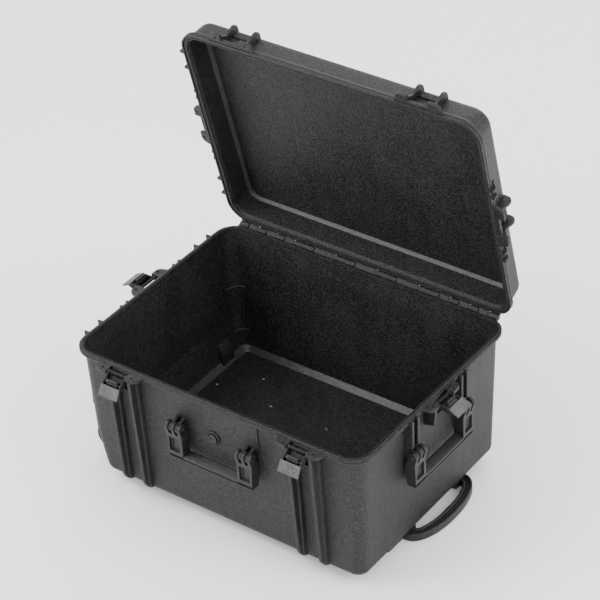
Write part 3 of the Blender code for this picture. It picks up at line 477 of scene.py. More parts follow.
def turned(profile, steps, axis="side"):
    """Ring turned from a closed (radius, along) profile about the side, out or up axis."""
    turns = [2 * math.pi * step / steps for step in range(steps)]
    return loft([[around(*point, turn, axis) for point in profile] for turn in turns], looped=True)


def drum(profile, steps, axis="side"):
    """Solid turned from an open (radius, along) profile whose ends sit on the axis."""
    turns = [2 * math.pi * step / steps for step in range(steps)]
    return loft([[around(*point, turn, axis) for turn in turns] for point in profile])


def move(bm, x=0.0, y=0.0, z=0.0):
    """Shift a bmesh and return it."""
    bmesh.ops.translate(bm, vec=Vector((x, y, z)), verts=bm.verts)
    return bm


def mesh_object(name, bm, matrix=None):
    if matrix is not None:
        bmesh.ops.transform(bm, matrix=matrix, verts=bm.verts)
    bmesh.ops.recalc_face_normals(bm, faces=bm.faces)
    mesh = bpy.data.meshes.new(name)
    bm.to_mesh(mesh)
    bm.free()
    made = bpy.data.objects.new(name, mesh)
    bpy.context.scene.collection.objects.link(made)
    return made


def combine(target, tools, operation):
    """Apply a boolean of every tool to the target and remove the tools."""
    for tool in tools:
        modifier = target.modifiers.new("cut", "BOOLEAN")
        modifier.operation = operation
        modifier.solver = "EXACT"
        modifier.object = tool
    bpy.context.view_layer.update()
    evaluated = target.evaluated_get(bpy.context.evaluated_depsgraph_get())
    result = bpy.data.meshes.new_from_object(evaluated)
    target.modifiers.clear()
    target.data = result
    for tool in tools:
        bpy.data.objects.remove(tool, do_unlink=True)


def dress(made, body, look, bevel=0.0006, segments=2, replaces=(), material=None, angle=34):
    """Give a piece its softened edges, normals, material and place in the frame."""
    mesh = made.data
    mesh.shade_smooth()
    mesh.set_sharp_from_angle(angle=math.radians(angle))
    if bevel:
        softened = made.modifiers.new("soft_edges", "BEVEL")
        softened.width = bevel
        softened.segments = segments
        softened.limit_method = "ANGLE"
        softened.angle_limit = math.radians(angle)
        softened.use_clamp_overlap = True
        softened.harden_normals = False
        if "sharp_edge" in mesh.attributes:
            mesh.attributes.remove(mesh.attributes["sharp_edge"])
    weighted = made.modifiers.new("flat_normals", "WEIGHTED_NORMAL")
    weighted.keep_sharp = True
    mesh.materials.clear()
    mesh.materials.append(material or LOOKS[look])
    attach(made, body)
    if replaces:
        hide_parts(*replaces)
    return made


def repaint(node, look):
    """Give a CAD piece that is shown as it is its material."""
    frame["nodes"][node].data.materials[0] = LOOKS[look]


def paint_highlight_band(made, place, low, high, facing):
    """Give the chamfer between two heights inside a shell the pale strip material, a painted highlight
    where the chamfer catches light.
    """
    back = place.inverted()
    made.data.materials.append(LOOKS["strip"])
    for face in made.data.polygons:
        height = (back @ face.center).z
        tilt = (back.to_3x3() @ face.normal).z * facing
        if low < height < high and 0.3 < tilt < 0.95:
            face.material_index = 1


def piece(name, bm, body, look, matrix=None, **options):
    return dress(mesh_object(name, bm, matrix), body, look, **options)


def station(angle, side=0.0):
    """Frame on the rim of a wall: 0 is the front, 90 the right end, -90 the left end, 180 the rear."""
    turn = Matrix.Rotation(math.radians(angle), 4, "Z")
    reach = HALF_Y if angle in (0, 180) else HALF_X
    return Matrix.Translation((0, 0, RIM_Z)) @ turn @ Matrix.Translation((side, -reach, 0))


def opened():
    """Turn from the lid's closed place to its open one."""
    pivot = Matrix.Translation((0, HINGE_Y, HINGE_Z))
    return pivot @ Matrix.Rotation(-LID_OPEN, 4, "X") @ pivot.inverted()


def case_ring(out, z, inset=0.0):
    """Rounded rectangle parallel to the inner rim, offset outwards."""
    half_x = HALF_X + out
    half_y = HALF_Y + out
    radius = max(CORNER_RADIUS + out, 0.002)
    left = -half_x + inset
    corners = ((half_x - radius, half_y - radius), (left + radius, half_y - radius),
               (left + radius, radius - half_y), (half_x - radius, radius - half_y))
    points = []
    for quarter, (x, y) in enumerate(corners):
        for step in range(CORNER_STEPS + 1):
            angle = math.pi / 2 * (quarter + step / CORNER_STEPS)
            points.append(Vector((x + radius * math.cos(angle), y + radius * math.sin(angle), z)))
    return points


def wall_out(up):
    """Offset of the base's outer wall at a height below the rim."""
    return WALL_OUT_TOP + (WALL_OUT_TOP - WALL_OUT_BOTTOM) * up / BASE_HEIGHT


def wall_in(up):
    return wall_out(up) - WALL_THICKNESS


def left_inset(up):
    """Extra inset of the left wall where its lower part slants in over the wheels."""
    return CHAMFER_INSET * max(0.0, 1 - (up + BASE_HEIGHT) / CHAMFER_HEIGHT)


# ---------------------------------------------------------------- base shell


def base_profile():
    """(out, up) outline of the base from its underside, over the rim and down to the floor."""
    low = -BASE_HEIGHT
    chamfer_up = low + CHAMFER_HEIGHT
    floor = low + FLOOR_THICKNESS
    inner_low = WALL_OUT_BOTTOM - WALL_THICKNESS
    corners = [
        (WALL_OUT_BOTTOM - 0.03, low, 0.0),
        (WALL_OUT_BOTTOM, low, BOTTOM_FILLET),
        (wall_out(chamfer_up), chamfer_up, 0.004),
        (wall_out(-0.016), -0.016, 0.003),
        (FLANGE_OUT - 0.0008, -FLANGE_DEPTH - 0.0006, 0.0012),
        (FLANGE_OUT, -FLANGE_DEPTH + 0.0012, 0.0006),
        (FLANGE_OUT, -0.0058, 0.0004),
        (FLANGE_OUT - 0.0012, -0.0052, 0.0004),
        (FLANGE_OUT - 0.0012, -0.0044, 0.0004),
        (FLANGE_OUT, -0.0038, 0.0004),
        (FLANGE_OUT, -TONGUE_HEIGHT, 0.0008),
        (TONGUE_OUT + 0.001, -TONGUE_HEIGHT, 0.0003),
        (TONGUE_OUT, 0.0, 0.0006),
        (0.0034, 0.0, 0.0006),
        (0.003, -0.0026, 0.0004),
        (0.0016, -0.0026, 0.0004),
        (0.0012, 0.0, 0.0004),
        (0.0, 0.0, 0.0005),
        (-0.0004, -0.0056, 0.002),
        (wall_in(-0.04), -0.04, 0.012),
        (wall_in(chamfer_up), chamfer_up, 0.004),
        (inner_low, floor + FLOOR_CHAMFER, 0.0012),
        (inner_low - FLOOR_CHAMFER, floor, 0.0012),
        (inner_low - 0.022, floor, 0.0),
    ]
    return rounded(corners, 5, closed=False)


def wheel_well_cutters():
    """Round cavities and axle bores for the two wheels at the lower left edge."""
    cutters = []
    for end in FRONT_REAR:
        low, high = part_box("tyre_" + end)
        centre = (low + high) / 2
        half = (high.y - low.y) / 2 + WHEEL_CLEARANCE
        for radius, reach in (((high.z - low.z) / 2 + WHEEL_CLEARANCE, half), (AXLE_BORE, half + 0.02)):
            ring = circle(centre.x, centre.z, radius, 48)
            cutters.append(mesh_object("cavity", crosswise(ring, centre.y - reach, centre.y + reach)))
    return cutters


def add_wheel_housings():
    """Arched box inside the case over each wheel, hollow underneath, with the cheeks of its axle."""
    foot = GROUND_GAP + FLOOR_THICKNESS - 0.001
    wall = -HALF_X - wall_in(CHAMFER_HEIGHT - BASE_HEIGHT) - 0.001
    for end in FRONT_REAR:
        low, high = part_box("tyre_" + end)
        centre = (low + high) / 2
        radius = (high.z - low.z) / 2 + 0.0065
        half = (high.y - low.y) / 2 + 0.006
        arch = [(centre.x + radius * math.cos(turn), centre.z + radius * math.sin(turn))
                for turn in [math.radians(90 * step / 16) for step in range(17)]]
        outline = [(centre.x + radius, foot)] + arch + [(wall, centre.z + radius), (wall, foot)]
        made = mesh_object("wheel_housing_" + end, crosswise(outline, centre.y - half, centre.y + half))
        cavity = crosswise(circle(centre.x, centre.z, radius - 0.003, 48),
                           centre.y - half + 0.0025, centre.y + half - 0.0025)
        combine(made, [mesh_object("cavity", cavity)], "DIFFERENCE")
        dress(made, "base", "shell", bevel=0.0024, segments=4)
        for side, label in HALVES:
            cheek = [(centre.x - 0.009, centre.z - 0.004), (centre.x - 0.008, centre.z + 0.008),
                     (centre.x + 0.022, centre.z + 0.03), (centre.x + 0.034, centre.z - 0.008),
                     (centre.x, centre.z - 0.0085)]
            inside = centre.y + side * (half - 0.0035)
            piece("axle_cheek_%s_%s" % (end, label),
                  crosswise(eased(cheek, 0.004), inside, inside + side * 0.002), "base", "shell")


def build_base_shell():
    """Base shell with a stepped flange, slanted lower left edge, and wheel wells cut through it."""
    rings = [case_ring(out, RIM_Z + up, left_inset(up)) for out, up in base_profile()]
    shell = mesh_object("base_shell_skin", loft(rings))
    cutters = wheel_well_cutters()
    floor = GROUND_GAP + FLOOR_THICKNESS
    for number in SCREWS:
        low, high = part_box("floor_screw_%d" % number)
        middle = (low + high) / 2
        hole = circle(middle.x, middle.y, SCREW_HOLE_RADIUS, 20)
        cutters.append(mesh_object("hole", plan(hole, GROUND_GAP - 0.004, GROUND_GAP + 0.02)))
        seat = circle(middle.x, middle.y, SCREW_SEAT_RADIUS, 28)
        cutters.append(mesh_object("seat", plan(seat, floor - SCREW_SEAT_DEPTH, floor + 0.005)))
    combine(shell, cutters, "DIFFERENCE")
    dress(shell, "base", "shell", bevel=0.0, replaces=("base_shell",), angle=30)
    # Painted highlight: the floor chamfer gets the pale strip material.
    paint_highlight_band(shell, Matrix.Identity(4), floor + 0.0006, floor + FLOOR_CHAMFER, 1)
    add_wheel_housings()


def corner_ledges():
    """Thin ledges that follow the inner vertical corners at two heights."""
    per_corner = CORNER_STEPS + 1
    for level, height in (("low", LOW_LEDGE), ("high", HIGH_LEDGE)):
        up = height - BASE_HEIGHT
        outer = case_ring(wall_in(up) + 0.0006, RIM_Z + up, left_inset(up))
        inner = case_ring(wall_in(up) - 0.0016, RIM_Z + up, left_inset(up))
        for corner in range(4):
            part = slice(corner * per_corner, (corner + 1) * per_corner)
            rows = [[far, near, near + Vector((0, 0, 0.001)), far + Vector((0, 0, 0.0022))]
                    for far, near in zip(outer[part], inner[part])]
            # The ledges use the pale strip material, a painted highlight along them.
            piece("corner_ledge_%s_%d" % (level, corner + 1), loft(rows), "base", "shell", bevel=0.0003,
                  material=LOOKS["strip"])


def bracket(low, high):
    """Latch bracket beside the rim, tapering into the flange, with a rounded edge."""
    foot = FLANGE_OUT - 0.002
    corners = [(-BRACKET_FOOT, foot, 0.004), (-BRACKET_HALF, BRACKET_OUT - 0.004, 0.004),
               (-BRACKET_HALF + 0.006, BRACKET_OUT, 0.005), (-POCKET_HALF, BRACKET_OUT, 0.0012),
               (-POCKET_HALF, foot - 0.003, 0.0), (-BRACKET_FOOT, foot - 0.003, 0.0)]
    return upright(rounded(corners, 4), low, high)


def mirrored(bm, sign):
    """Mirror a bmesh to the other side where the sign is negative."""
    bmesh.ops.scale(bm, vec=Vector((sign, 1, 1)), verts=bm.verts)
    return bm


def boss(prefix, name, sign, half, body, place, low, high, face):
    """Latch bracket with a padlock hole, and the raised eyelet around the hole."""
    made = mesh_object("%s_boss_%s_%s" % (prefix, name, half), mirrored(bracket(low, high), -sign), place)
    hole = upright(circle(sign * BOSS_SIDE, BOSS_OUT, BOSS_HOLE_RADIUS, 20), *BOSS_DRILL)
    combine(made, [mesh_object("hole", hole, place)], "DIFFERENCE")
    dress(made, body, "shell", bevel=0.0008, segments=3)
    foot, top = face
    eyelet = turned([(0.0022, foot), (0.0042, foot), (0.004, top), (0.0026, top)], 28, "up")
    piece("%s_eyelet_%s_%s" % (prefix, name, half), move(eyelet, sign * BOSS_SIDE, -BOSS_OUT), body,
          "shell", place, bevel=0.0002)


def base_latch_mounts(name, matrix):
    """Pair of bosses, eyelets, pocket cheeks and the bar that joins them under one latch."""
    for sign, half in HALVES:
        boss("latch", name, sign, half, "base", matrix, -FLANGE_DEPTH, -0.0022, (-0.0023, -0.0016))
        near, far = sorted((sign * POCKET_HALF, sign * CHEEK_OUT))
        root = wall_out(-POCKET_DEPTH) - 0.002
        cheek = rounded([(-0.0002, -0.004, 0.0), (RIB_TOP_OUT + 0.001, -0.004, 0.001),
                         (RIB_TOP_OUT, -0.02, 0.004), (RIB_TOP_OUT - 0.003, -POCKET_DEPTH, 0.003),
                         (root, -POCKET_DEPTH - 0.006, 0.0)], 4)
        piece("pocket_cheek_%s_%s" % (name, half), sideways(cheek, near, far), "base", "shell", matrix,
              bevel=0.0008)
    # Painted shade: a thin dark plate on the wall inside the pocket stands in for the shadow in the deep
    # pocket.
    shade_plate = rounded([(wall_out(-0.01) - 0.0003, -0.01, 0.0), (wall_out(-0.01) + 0.0016, -0.01, 0.0004),
                      (wall_out(-0.046) + 0.0014, -0.046, 0.0004),
                      (wall_out(-0.046) - 0.001, -0.046, 0.0)], 2)
    piece("pocket_lining_" + name, sideways(shade_plate, -POCKET_HALF + 0.0002, POCKET_HALF - 0.0002), "base",
          "trim", matrix, bevel=0.0, material=LOOKS["recess"])
    stop = rounded([(0.0, -0.03, 0.0), (0.0095, -0.03, 0.001), (0.011, -0.0355, 0.001),
                    (0.0, -0.0375, 0.0)], 3)
    piece("pocket_stop_" + name, sideways(stop, -0.0065, 0.0065), "base", "shell", matrix, bevel=0.0005)
    sill = rounded([(-0.003, -0.047, 0.0), (0.0085, -0.047, 0.001), (0.0065, -0.0505, 0.001),
                    (-0.004, -0.0525, 0.0)], 3)
    piece("pocket_sill_" + name, sideways(sill, -POCKET_HALF, POCKET_HALF), "base", "shell", matrix,
          bevel=0.0005)


def skin_out(height):
    """Offset of the base's outer skin at a height above its underside, bottom fillet included."""
    if height >= BOTTOM_FILLET:
        return wall_out(height - BASE_HEIGHT)
    angle = math.acos(1 - height / BOTTOM_FILLET)
    return WALL_OUT_BOTTOM - BOTTOM_FILLET * (1 - math.sin(angle))


def crest_out(height):
    """Reach of a front rib's crest at a height above the underside."""
    full = BASE_HEIGHT - FLANGE_DEPTH
    straight = 0.006 + (RIB_TOP_OUT - 0.006) * height / full
    droop = 0.017 * max(0.0, 1 - height / 0.03) ** 2.2
    return straight - droop


def front_rib(side):
    """Rib under a latch: a rounded narrow crest with a lower step on each side."""
    sections = []
    heights = [0.0035, 0.006, 0.009, 0.013, 0.018, 0.024, 0.032, 0.06, 0.12, 0.19,
               BASE_HEIGHT - FLANGE_DEPTH + 0.001]
    for height in heights:
        skin = skin_out(height)
        crest = crest_out(height)
        step = min(skin + RIB_STEP_OUT, crest - 0.0012)
        root = min(skin - (0.002 if height < 0.2 else 0.0006), step - 0.0006)
        half = 0.0055 + 0.003 * min(1.0, height / 0.08)
        right = [(RIB_CREST_HALF + 0.0012, step + 0.0009, 0.0008), (half, step, 0.001),
                 (half + 0.0016, root, 0.0)]
        left = [(-along, out, radius) for along, out, radius in reversed(right)]
        top = [(-RIB_CREST_HALF, crest, 0.0014), (RIB_CREST_HALF, crest, 0.0014)]
        outline = rounded(left + top + right, 3)
        sections.append([Vector((side + along, -out, height - BASE_HEIGHT)) for along, out in outline])
    return loft(sections)


def front_pad():
    """Raised plain pad under the front flange, with softened edges."""
    low, high = -0.066, -FLANGE_DEPTH + 0.0005
    corners = [(wall_out(low) - 0.002, low, 0.0), (wall_out(low) + 0.0022, low, 0.0016),
               (wall_out(high) + 0.0024, high, 0.0), (wall_out(high) - 0.0006, high, 0.0)]
    return sideways(rounded(corners, 4), -0.025, 0.0965)


def side_rib(depth, reach):
    """Outline of an upright rib that hangs from the flange, with a straight crest and a square end."""
    corners = [(0.0, -0.004, 0.0), (reach, -0.004, 0.001), (reach - 0.0008, -depth + 0.003, 0.003),
               (wall_out(-depth) + 0.004, -depth - 0.003, 0.003),
               (wall_out(-depth) - 0.001, -depth - 0.006, 0.0), (wall_out(-depth) - 0.002, -depth, 0.0),
               (-0.002, -0.02, 0.0)]
    return rounded(corners, 6)


def sharpen(rib, side):
    """Taper a wall rib in plan from its root to a narrow crest."""
    for vert in rib.verts:
        outwards = min(1.0, max(0.0, -vert.co.y / END_RIB_OUT))
        vert.co.x = side + (vert.co.x - side) * (1.25 - 0.75 * outwards)


def end_ribs(prefix, body, turn, paired_outline, single_outline):
    """Thin upright ribs on both end walls, in pairs, with long tapered ones on the left end."""
    for end, sides in ENDS.items():
        for number, side in enumerate(sides, start=1):
            paired = side in SIDE_RIBS
            for sign, half in HALVES:
                low = sign * side - SIDE_RIB_HALF
                rib = sideways(paired_outline if paired else single_outline, low, low + 2 * SIDE_RIB_HALF)
                if not paired:
                    sharpen(rib, sign * side)
                piece("%s_rib_%s_%d%s" % (prefix, end, number, half), rib, body, "shell",
                      turn @ station(STATIONS[end]), bevel=0.0009, segments=3)


def base_wall_details():
    """Ribs and pads on the outside of the base."""
    for name in ("front_left", "front_right"):
        angle, side = LATCH_PLACES[name]
        for sign, half in HALVES:
            piece("front_rib_%s_%s" % (name, half), front_rib(sign * RIB_SIDE), "base", "shell",
                  station(angle, side), bevel=0.0004)
    piece("front_pad", front_pad(), "base", "shell", station(0), bevel=0.0006)
    end_ribs("side", "base", Matrix.Identity(4), side_rib(SIDE_RIB_DEPTH, SIDE_RIB_OUT),
             side_rib(END_RIB_DEPTH, END_RIB_OUT))
    for number, side in enumerate(REAR_RIBS, start=1):
        outline = rounded([(wall_out(-0.262) - 0.002, -0.262, 0.0), (-0.001, -0.248, 0.006),
                           (0.007, -0.03, 0.006), (0.007, -0.006, 0.0), (-0.0002, -0.006, 0.0)], 5)
        piece("rear_rib_%d" % number, sideways(outline, side - 0.006, side + 0.006), "base", "shell",
              station(180), bevel=0.0014, segments=3)


def lug_sides():
    centre = HANDLE_HALF - HANDLE_LEG / 2
    return [sign * centre + offset * LUG_PITCH / 2 for sign in (-1, 1) for offset in (-1, 1)]


def base_handle_lugs():
    """Round lugs that carry the handles' pins, with a bored eye each."""
    root = wall_out(HANDLE_PIVOT_UP) - 0.0015
    for name, angle in STATIONS.items():
        for number, side in enumerate(lug_sides(), start=1):
            arc = [(HANDLE_PIVOT_OUT + LUG_VISIBLE * math.cos(turn),
                    HANDLE_PIVOT_UP + LUG_VISIBLE * math.sin(turn))
                   for turn in [math.radians(100 - 200 * step / 24) for step in range(25)]]
            outline = [(root, HANDLE_PIVOT_UP + LUG_RADIUS + 0.003)] + arc
            outline.append((root, HANDLE_PIVOT_UP - LUG_RADIUS - 0.003))
            piece("handle_lug_%s_%d" % (name, number), sideways(outline, side - LUG_WIDTH / 2,
                                                                side + LUG_WIDTH / 2), "base", "shell",
                  station(angle), bevel=0.0009, segments=3)


def knuckle_spans():
    start = HINGE_X - sum(KNUCKLES) / 2
    spans = []
    for length in KNUCKLES:
        spans.append((start + KNUCKLE_GAP / 2, start + length - KNUCKLE_GAP / 2))
        start += length
    return spans


def knuckle(span, low_z, high_z):
    """Hinge barrel flowing into its arm, as one outline along X."""
    arm_y = HALF_Y + FLANGE_OUT - 0.003
    above = (low_z + high_z) / 2 > HINGE_Z
    sweep = [math.radians((-90 if above else 90) + (225 if above else -225) * step / 24)
             for step in range(25)]
    arc = [(HINGE_Y + KNUCKLE_RADIUS * math.cos(turn), HINGE_Z + KNUCKLE_RADIUS * math.sin(turn))
           for turn in sweep]
    edge, root = (high_z, low_z) if above else (low_z, high_z)
    outline = arc + [(arm_y, edge), (arm_y, root), (HINGE_Y - KNUCKLE_RADIUS * 0.92, root)]
    return lengthwise(outline, *span)


def hinge_leaf(span):
    """Curved lip of the lid that wraps the back of a base knuckle."""
    turns = [math.radians(95 + 55 * step / 8) for step in range(9)]
    outline = [(HINGE_Y + radius * math.cos(turn), HINGE_Z + radius * math.sin(turn))
               for radius, sweep in ((LEAF_INNER, turns), (LEAF_OUTER, list(reversed(turns))))
               for turn in sweep]
    return lengthwise(outline, *span)


def build_hinge():
    """Knuckles of base and lid in turn, the lid's lips behind them, and the pin's peened ends."""
    spans = knuckle_spans()
    for number, span in enumerate(spans[0::2], start=1):
        piece("hinge_leaf_%02d" % number, hinge_leaf(span), "lid", "shell", opened(), bevel=0.0004)
    for number, span in enumerate(spans[0::2], start=1):
        barrel = knuckle(span, RIM_Z - FLANGE_DEPTH, RIM_Z - TONGUE_HEIGHT - 0.0005)
        piece("base_knuckle_%02d" % number, barrel, "base", "shell", bevel=0.0007, segments=3)
    for number, span in enumerate(spans[1::2], start=1):
        barrel = knuckle(span, RIM_Z + 0.0008, RIM_Z + 0.0058)
        piece("lid_knuckle_%02d" % number, barrel, "lid", "shell", opened(), bevel=0.0007, segments=3)
    for sign, end, x in ((-1, "left", spans[0][0]), (1, "right", spans[-1][1])):
        head = drum([(0.0, -0.0004), (0.0026, -0.0004), (0.0026, 0.0006), (0.0016, 0.0013),
                     (0.0, 0.0014)], 24)
        piece("hinge_pin_head_" + end, move(mirrored(head, sign), x, HINGE_Y, HINGE_Z), "base", "steel",
              bevel=0.0, material=LOOKS["dark_steel"])


# ---------------------------------------------------------------- lid


def lid_profile():
    """(out, up) outline of the closed lid from its top, over its rim and up inside to the ceiling."""
    edge = LID_WALL_OUT - LID_DRAFT
    ceiling = LID_HEIGHT - LID_WALL
    inner = edge - LID_WALL
    corners = [
        (edge - 0.03, LID_HEIGHT, 0.0),
        (edge, LID_HEIGHT, LID_FILLET),
        (LID_WALL_OUT, FLANGE_DEPTH + 0.006, 0.003),
        (FLANGE_OUT - 0.0006, FLANGE_DEPTH + 0.0006, 0.0012),
        (FLANGE_OUT, FLANGE_DEPTH - 0.001, 0.0006),
        (FLANGE_OUT, 0.0052, 0.0004),
        (FLANGE_OUT - 0.001, 0.0046, 0.0004),
        (FLANGE_OUT - 0.001, 0.0038, 0.0004),
        (FLANGE_OUT, 0.0032, 0.0004),
        (FLANGE_OUT, -TONGUE_HEIGHT + 0.0004, 0.0006),
        (TONGUE_OUT + 0.001, -TONGUE_HEIGHT + 0.0004, 0.0005),
        (TONGUE_OUT + 0.0008, 0.0046, 0.0003),
        (0.0008, 0.0046, 0.0003),
        (0.0006, 0.0005, 0.0005),
        (-0.0012, 0.0005, 0.0005),
        (-0.0018, 0.003, 0.0006),
        (inner, 0.0062, 0.0015),
        (inner, ceiling - LID_INNER_CHAMFER, 0.0016),
        (inner - LID_INNER_CHAMFER, ceiling, 0.0016),
        (inner - 0.024, ceiling, 0.0),
    ]
    return rounded(corners, 5, closed=False)


def build_lid_shell():
    """Lid shell with its double-lipped rim and chamfered inner edge."""
    rings = [case_ring(out, RIM_Z + up) for out, up in lid_profile()]
    shell = mesh_object("lid_shell_skin", loft(rings), opened())
    dress(shell, "lid", "shell", bevel=0.0, replaces=("lid_shell",), angle=30)
    ceiling = RIM_Z + LID_HEIGHT - LID_WALL
    # Painted highlight: the lid's inner chamfer gets the pale strip material.
    paint_highlight_band(shell, opened(), ceiling - LID_INNER_CHAMFER, ceiling - 0.0004, -1)


def build_lid_seal():
    """Soft round-topped seal in the lid's groove."""
    outer = TONGUE_OUT + 0.0008 - GAP
    inner = 0.0008 + GAP
    middle = (outer + inner) / 2
    outline = rounded([(outer, 0.0014, 0.0009), (outer, 0.0043, 0.0), (inner, 0.0043, 0.0),
                       (inner, 0.0014, 0.0009), (middle - 0.0006, 0.0006, 0.0005),
                       (middle + 0.0006, 0.0006, 0.0005)], 4)
    rings = [case_ring(out, RIM_Z + up) for out, up in outline]
    made = mesh_object("lid_seal", loft(rings, looped=True), opened())
    dress(made, "lid", "rubber", bevel=0.0, replaces=("lid_gasket",), material=SEAL)


def fin_outline():
    """Big rounded cheek beside a latch, with a waist above its foot."""
    return rounded([(LID_ROOT_OUT, 0.001, 0.0), (BRACKET_OUT - 0.003, 0.001, 0.0008),
                    (BRACKET_OUT - 0.006, 0.0075, 0.003), (0.0138, 0.018, 0.004), (0.0135, 0.027, 0.004),
                    (0.0168, 0.037, 0.003), (0.017, 0.044, 0.004), (0.013, 0.0515, 0.004),
                    (0.004, 0.0535, 0.003), (-0.006, 0.053, 0.0), (0.0, 0.012, 0.0),
                    (LID_ROOT_OUT, 0.0055, 0.0)], 4)


def lid_latch_mounts(name, matrix):
    """Bosses, ledge, cheeks and guard plate above one latch."""
    place = opened() @ matrix
    for sign, half in HALVES:
        boss("lid", name, sign, half, "lid", place, 0.0006, BRACKET_THICKNESS,
             (BRACKET_THICKNESS, BRACKET_THICKNESS + 0.0008))
        low = sign * FIN_SIDE - FIN_THICKNESS / 2
        piece("lid_cheek_%s_%s" % (name, half), sideways(fin_outline(), low, low + FIN_THICKNESS), "lid",
              "shell", place, bevel=0.001, segments=3)
    ledge = rounded([(LID_ROOT_OUT, 0.0006, 0.0), (LEDGE_OUT, 0.0006, 0.0008),
                     (LEDGE_OUT, LEDGE_HEIGHT, 0.0008), (0.0102, LEDGE_HEIGHT, 0.0006),
                     (0.01, 0.0096, 0.0), (LID_ROOT_OUT, 0.009, 0.0)], 3)
    piece("latch_ledge_" + name, sideways(ledge, -POCKET_HALF - 0.001, POCKET_HALF + 0.001), "lid",
          "shell", place, bevel=0.0005)
    guard = rounded([(0.0, 0.03, 0.0), (0.0045, 0.031, 0.0008), (0.0052, 0.043, 0.002),
                     (-0.003, 0.05, 0.0)], 4)
    piece("latch_guard_" + name, sideways(guard, -FIN_SIDE + 0.002, FIN_SIDE - 0.002), "lid", "shell",
          place, bevel=0.0006)


def lid_wall_details():
    """Ribs on the lid's ends and the raised frames and stripes on its top."""
    outlines = [rounded([(LID_ROOT_OUT, 0.0012, 0.0), (reach, 0.0012, 0.003), (reach, 0.0125, 0.006),
                         (0.006, 0.019, 0.005), (0.0004, 0.03, 0.0), (0.0, 0.012, 0.0),
                         (LID_ROOT_OUT, 0.0055, 0.0)], 5) for reach in (SIDE_RIB_OUT, END_RIB_OUT)]
    end_ribs("lid", "lid", opened(), *outlines)
    top = RIM_Z + LID_HEIGHT
    half_x, half_y = LID_FRAME_HALF
    border = LID_FRAME_BORDER
    for number, x in enumerate((-LID_FRAME_X, LID_FRAME_X), start=1):
        outer = eased(rectangle(x - half_x, x + half_x, -half_y, half_y), 0.022, 8)
        inner = eased(rectangle(x - half_x + border, x + half_x - border, border - half_y,
                                half_y - border), 0.016, 8)
        rows = [[Vector((a, b, top + up)) for a, b in outline]
                for outline, up in ((outer, -0.001), (outer, 0.0024), (inner, 0.0024), (inner, -0.001))]
        piece("lid_frame_%d" % number, loft(rows, looped=True), "lid", "shell", opened(), bevel=0.001,
              segments=3)
        for strip in range(5):
            low = strip * 0.058 + 0.04 - half_y
            stripe = eased(rectangle(x - half_x + 0.03, x + half_x - 0.03, low, low + 0.01), 0.0045, 5)
            piece("lid_stripe_%d_%d" % (number, strip + 1), plan(stripe, top - 0.001, top + 0.002), "lid",
                  "shell", opened(), bevel=0.0008, segments=3)


# ---------------------------------------------------------------- latches


def latch_place(name):
    """Frame of a latch's pivot, and how far the lever stands open."""
    opening = math.radians(joints["latch_%s_pivot" % name]["range_deg"][1])
    shift = Matrix.Translation((0, -LATCH_PIVOT_OUT, LATCH_PIVOT_UP))
    return station(*LATCH_PLACES[name]) @ shift @ Matrix.Rotation(opening, 4, "X"), opening


def lever_section():
    """Side profile of the lever's plate: kinked out from its arms, ending in a turned lip."""
    return rounded([(-0.0052, 0.0262, 0.0008), (-0.0016, 0.035, 0.006), (0.0014, 0.044, 0.004),
                    (0.0034, 0.047, 0.0012), (0.0064, 0.0452, 0.0012), (0.0046, 0.0425, 0.004),
                    (0.0018, 0.0335, 0.006), (-0.0016, 0.0256, 0.0008)], 5)


def build_latch(name):
    """Latch lever with its frame, lip, window and barrel, and the hook hanging in it."""
    pivot, opening = latch_place(name)
    body = "latch_" + name
    plate = sideways(lever_section(), -LEVER_HALF_WIDTH, LEVER_HALF_WIDTH)
    for vert in plate.verts:
        flare = max(0.0, vert.co.z - 0.026) / 0.021
        vert.co.x *= 1 + 0.045 * flare
    piece("lever_plate_" + name, plate, body, "latch_grey", pivot, bevel=0.0008, segments=3,
          replaces=("latch_lever_" + name,))
    for sign, half in HALVES:
        low, high = sorted((sign * (LEVER_HALF_WIDTH - 0.0034), sign * (LEVER_HALF_WIDTH - 0.0002)))
        arm = rounded([(-0.0016, -0.001, 0.0), (-0.0044, 0.0275, 0.0), (0.001, 0.0335, 0.002),
                       (0.0072, 0.025, 0.004), (0.0072, 0.008, 0.004), (0.0022, -0.001, 0.0)], 4)
        # Painted shade: the arms use the darker recess look to stand in for the shadow under the lever.
        piece("lever_arm_%s_%s" % (name, half), sideways(arm, low, high), body, "trim", pivot,
              bevel=0.0006, material=LOOKS["recess"])
        eye = turned([(0.0018, low), (0.0037, low), (0.0037, high), (0.0018, high)], 28)
        piece("lever_eye_%s_%s" % (name, half), eye, body, "trim", pivot, bevel=0.0005)
    # Painted shade: the back and the barrel also use the darker recess look.
    back = rounded([(0.0058, 0.005, 0.0), (0.0072, 0.0052, 0.0), (0.0072, 0.025, 0.003),
                    (0.0014, 0.0332, 0.0), (0.0002, 0.0324, 0.0), (0.0062, 0.0242, 0.003)], 4)
    piece("lever_back_" + name, sideways(back, -LEVER_HALF_WIDTH + 0.0033, LEVER_HALF_WIDTH - 0.0033),
          body, "trim", pivot, bevel=0.0004, material=LOOKS["recess"])
    bar = drum([(0.0, -0.015), (0.003, -0.015), (0.003, 0.015), (0.0, 0.015)], 24)
    piece("lever_barrel_" + name, bar, body, "trim", pivot, bevel=0.0, material=LOOKS["recess"])
    build_hook(name, pivot, opening)
    repaint("latch_pin_" + name, "dark_steel")


